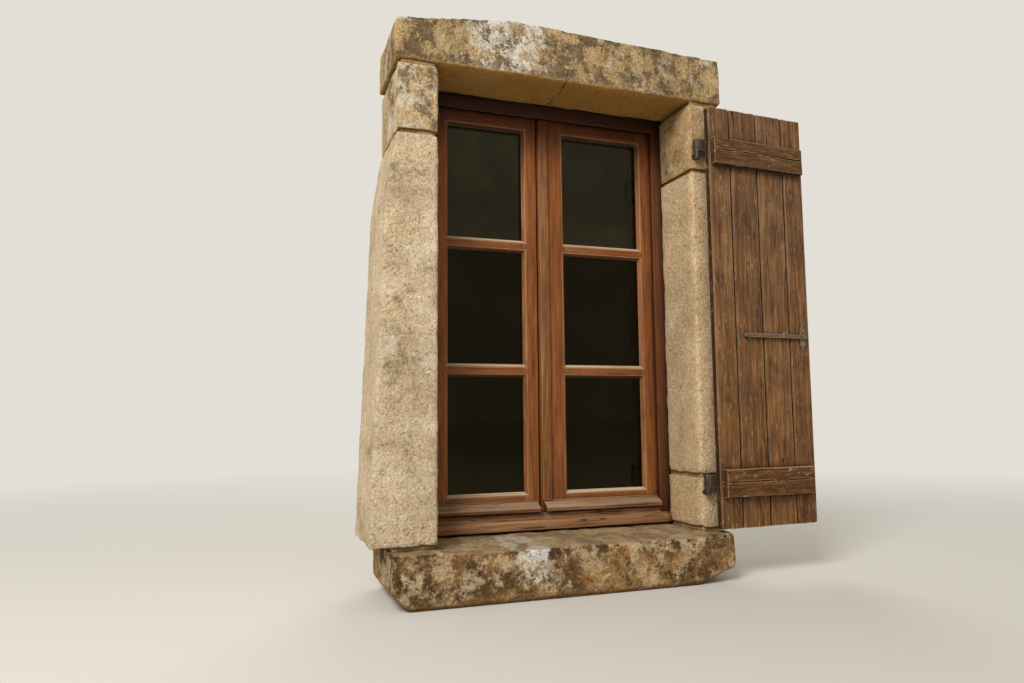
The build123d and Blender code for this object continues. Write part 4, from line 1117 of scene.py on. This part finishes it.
    def ledge(self, name: str, x0: float, x1: float, z0: float, z1: float) -> None:
        """Build one ledge: a chamfered board with a drying crack along its middle.

        Args:
            name: The ledge's CAD node.
            x0: Its end nearer the pin, in the leaf's axes.
            x1: Its far end.
            z0: Its foot.
            z1: Its head.
        """
        centre = Vector(((x0 + x1) / 2, self.front - self.ledge_depth / 2, (z0 + z1) / 2))
        size = Vector((x1 - x0, self.ledge_depth, z1 - z0))
        bm = bmesh.new()
        bmesh.ops.create_cube(bm, size=1.0, matrix=Matrix.Translation(centre) @ Matrix.Diagonal(size).to_4x4())
        nose = centre.y - size.y / 2
        ease(bm, [e for e in bm.edges if all(v.co.y < nose + 0.1 * MM for v in e.verts)], self.ledge_arris)
        slice_along(bm, 0, 9 * MM)
        crack_z = centre.z + 4 * MM
        for shift in (-12, -2.4, 0, 2.4, 12):
            cut(bm, 2, crack_z + shift * MM)
        seed = z0 * 31
        for vert in bm.verts:
            x, y, z = vert.co
            if y < nose + 0.5 * MM and abs(z - crack_z) < 0.5 * MM:
                vert.co.y += max(0.0, 0.45 + roughness_at(x / self.crack_wave, seed, 0)) * self.crack_depth
            if abs(z - crack_z) < 3 * MM:
                vert.co.z += roughness_at(x / self.crack_jag, seed + 5, 0) * self.crack_sway
        wander(bm, 60 * MM, 1.6 * MM, seed)
        wander(bm, 14 * MM, 0.5 * MM, seed + 3)
        bmesh.ops.transform(bm, matrix=self.rest, verts=bm.verts)
        # The ledges' upward faces and arrises carry painted light with the sun and wear, and their sides,
        # undersides and corners painted shade.
        board = replace(
            self.board, name=f"weathered {name.replace('_', ' ')}", grain=Grain.ALONG_X, seed=seed,
            dark="#3a2516", body="#634429", light="#866543", worn="#cfb088", patch="#523d30", patch_share=0.45,
            bleach="#a08465", bleach_share=0.2, corner_shade=0.12, flecks=0.7, sunned_and_lit="#b09370", sunned_and_lit_share=0.7,
            shaded_sides=0.6, fleck_stretch=(0.3, 1.0, 1.0),
        )
        add_piece(f"shutter_{name}", bm, board, self.body, name)


@dataclass
class ShutterIron:
    """The pins in the stone, the nails and straps on the leaf, and the bar latch."""

    bore_reach: float = 7.5 * MM
    bore_play: float = 0.4 * MM
    arris_mm: float = 0.8
    nail_arris_mm: float = 0.6
    forged_mm: float = 0.25

    def build(self) -> None:
        """Dress every forged piece."""
        for side in ("upper", "lower"):
            soften(f"{side}_pintle", self.arris_mm, RUSTY_IRON, "surround")
            self.strap(f"{side}_strap")
        for node in ("ledge_nails", "strap_nails"):
            soften(node, self.nail_arris_mm, RUSTY_IRON, "shutter")
        for node in ("plate", "pin", "plate_nails", "rest_hook", "bar"):
            finish = RUSTY_IRON if node == "rest_hook" else LATCH_IRON
            body = "latch" if node == "bar" else "shutter"
            soften(f"latch_{node}", self.arris_mm, finish, body, self.forged_mm)

    def strap(self, node: str) -> None:
        """Dress one strap, with its eye reamed so that it turns freely on its pin.

        Args:
            node: The strap's CAD node.
        """
        bm = rounded_copy(node, self.arris_mm)
        for vert in bm.verts:
            away = Vector((vert.co.x - SHUTTER_PIN.x, vert.co.y - SHUTTER_PIN.y, 0.0))
            if away.length < self.bore_reach:
                vert.co += away.normalized() * self.bore_play
        add_piece(f"{node}_dressed", bm, RUSTY_IRON, "shutter", node)


@dataclass
class Studio:
    """The pale floor, the soft light and the camera at the photograph's place."""

    floor_half: float = 60.0
    floor_colour: str = "#d9d5cc"
    backdrop_colour: str = "#e3dfd7"
    light_colour: str = "#f6f1e8"
    light_strength: float = 0.5
    fade_from: float = 1.2
    fade_to: float = 6.0
    aim: tuple[float, float, float] = (0.1, 0.1, 0.85)
    eye: tuple[float, float, float] = (-0.9505, -2.1041, 0.5232)
    right: tuple[float, float, float] = (0.9433, -0.3318, -0.0087)
    up: tuple[float, float, float] = (-0.0246, -0.0958, 0.9951)
    focal_px: float = 751.9
    picture_px: int = 1024
    sensor_mm: float = 36.0

    def build(self) -> None:
        """Build the floor, world, lamps and camera."""
        self.floor()
        self.world()
        self.lamp("key", Vector((-3.6, -3.6, 4.6)), 2.4, 325.0)
        self.lamp("back", Vector((1.5, 4.6, 3.6)), 3.0, 90.0)
        self.camera()
        bpy.context.scene.view_settings.view_transform = "Standard"

    def floor(self) -> None:
        """Lay the pale floor under the sill stone, and let it fade into the backdrop."""
        bm = bmesh.new()
        bmesh.ops.create_grid(bm, x_segments=1, y_segments=1, size=self.floor_half)
        mesh = mesh_of("studio_floor", bm)
        paper = bpy.data.materials.new("pale paper")
        paint = Brush.on(paper)
        far = paint.add("VectorMath", {0: paint.where}, operation="LENGTH").outputs["Value"]
        limits = {"Value": far, "From Min": self.fade_from, "From Max": self.fade_to}
        fade = paint.add("MapRange", limits, interpolation_type="SMOOTHSTEP").outputs[0]
        near = paint.add("BsdfPrincipled", {"Base Color": self.floor_colour, "Roughness": 0.9})
        distant = paint.add("Emission", {"Color": self.backdrop_colour})
        shown = paint.product(fade, self.direct_look(paint))
        both = paint.add("MixShader", {0: shown, 1: near.outputs[0], 2: distant.outputs[0]})
        paint.add("OutputMaterial", {"Surface": both.outputs[0]})
        mesh.materials.append(paper)
        in_scene("studio_floor", mesh)

    @staticmethod
    def direct_look(paint: Brush) -> Socket:
        """Return 1 for rays that see or look through, and 0 for those that light or are mirrored."""
        path = paint.add("LightPath").outputs
        seen = {0: path["Is Camera Ray"], 1: path["Is Transmission Ray"]}
        return paint.add("Math", seen, operation="MAXIMUM").outputs[0]

    def world(self) -> None:
        """Light the object softly from all round, and show it a pale backdrop."""
        bpy.context.scene.world = bpy.data.worlds.new("studio")
        paint = Brush.on(bpy.context.scene.world)
        light = paint.add("Background", {"Color": self.light_colour, "Strength": self.light_strength})
        backdrop = paint.add("Background", {"Color": self.backdrop_colour, "Strength": 1.0})
        inputs = {0: self.direct_look(paint), 1: light.outputs[0], 2: backdrop.outputs[0]}
        paint.add("OutputWorld", {"Surface": paint.add("MixShader", inputs).outputs[0]})

    def lamp(self, name: str, place: Vector, size: float, watts: float) -> None:
        """Hang a square soft lamp that points at the middle of the window.

        Args:
            name: The lamp's name.
            place: Where it hangs.
            size: Its side, in metres.
            watts: Its power.
        """
        data = bpy.data.lights.new(name, "AREA")
        data.size, data.energy = size, watts
        turn = (Vector(self.aim) - place).to_track_quat("-Z", "Y").to_matrix().to_4x4()
        in_scene(name, data).matrix_world = Matrix.Translation(place) @ turn

    def camera(self) -> None:
        """Set the camera where the photograph was taken from."""
        data = bpy.data.cameras.new("photograph")
        data.sensor_width = self.sensor_mm
        data.lens = self.focal_px * self.sensor_mm / self.picture_px
        camera = in_scene("photograph", data)
        right = Vector(self.right).normalized()
        back = right.cross(Vector(self.up)).normalized()
        turn = Matrix((right, back.cross(right), back)).transposed().to_4x4()
        camera.matrix_world = Matrix.Translation(Vector(self.eye)) @ turn
        bpy.context.scene.camera = camera


def main() -> None:
    """Build and dress the window, its shutter and the studio."""
    logging.basicConfig(level=logging.INFO, format="%(name)s: %(message)s")
    noise.seed_set(NOISE_SEED)
    window = [Studio(), StoneSurround(), FixedFrame(), Sash("left", 50.0), Sash("right", 90.0), RoomIron()]
    for assembly in [*window, ShutterLeaf(), ShutterIron()]:
        assembly.build()


if __name__ == "__main__":
    main()
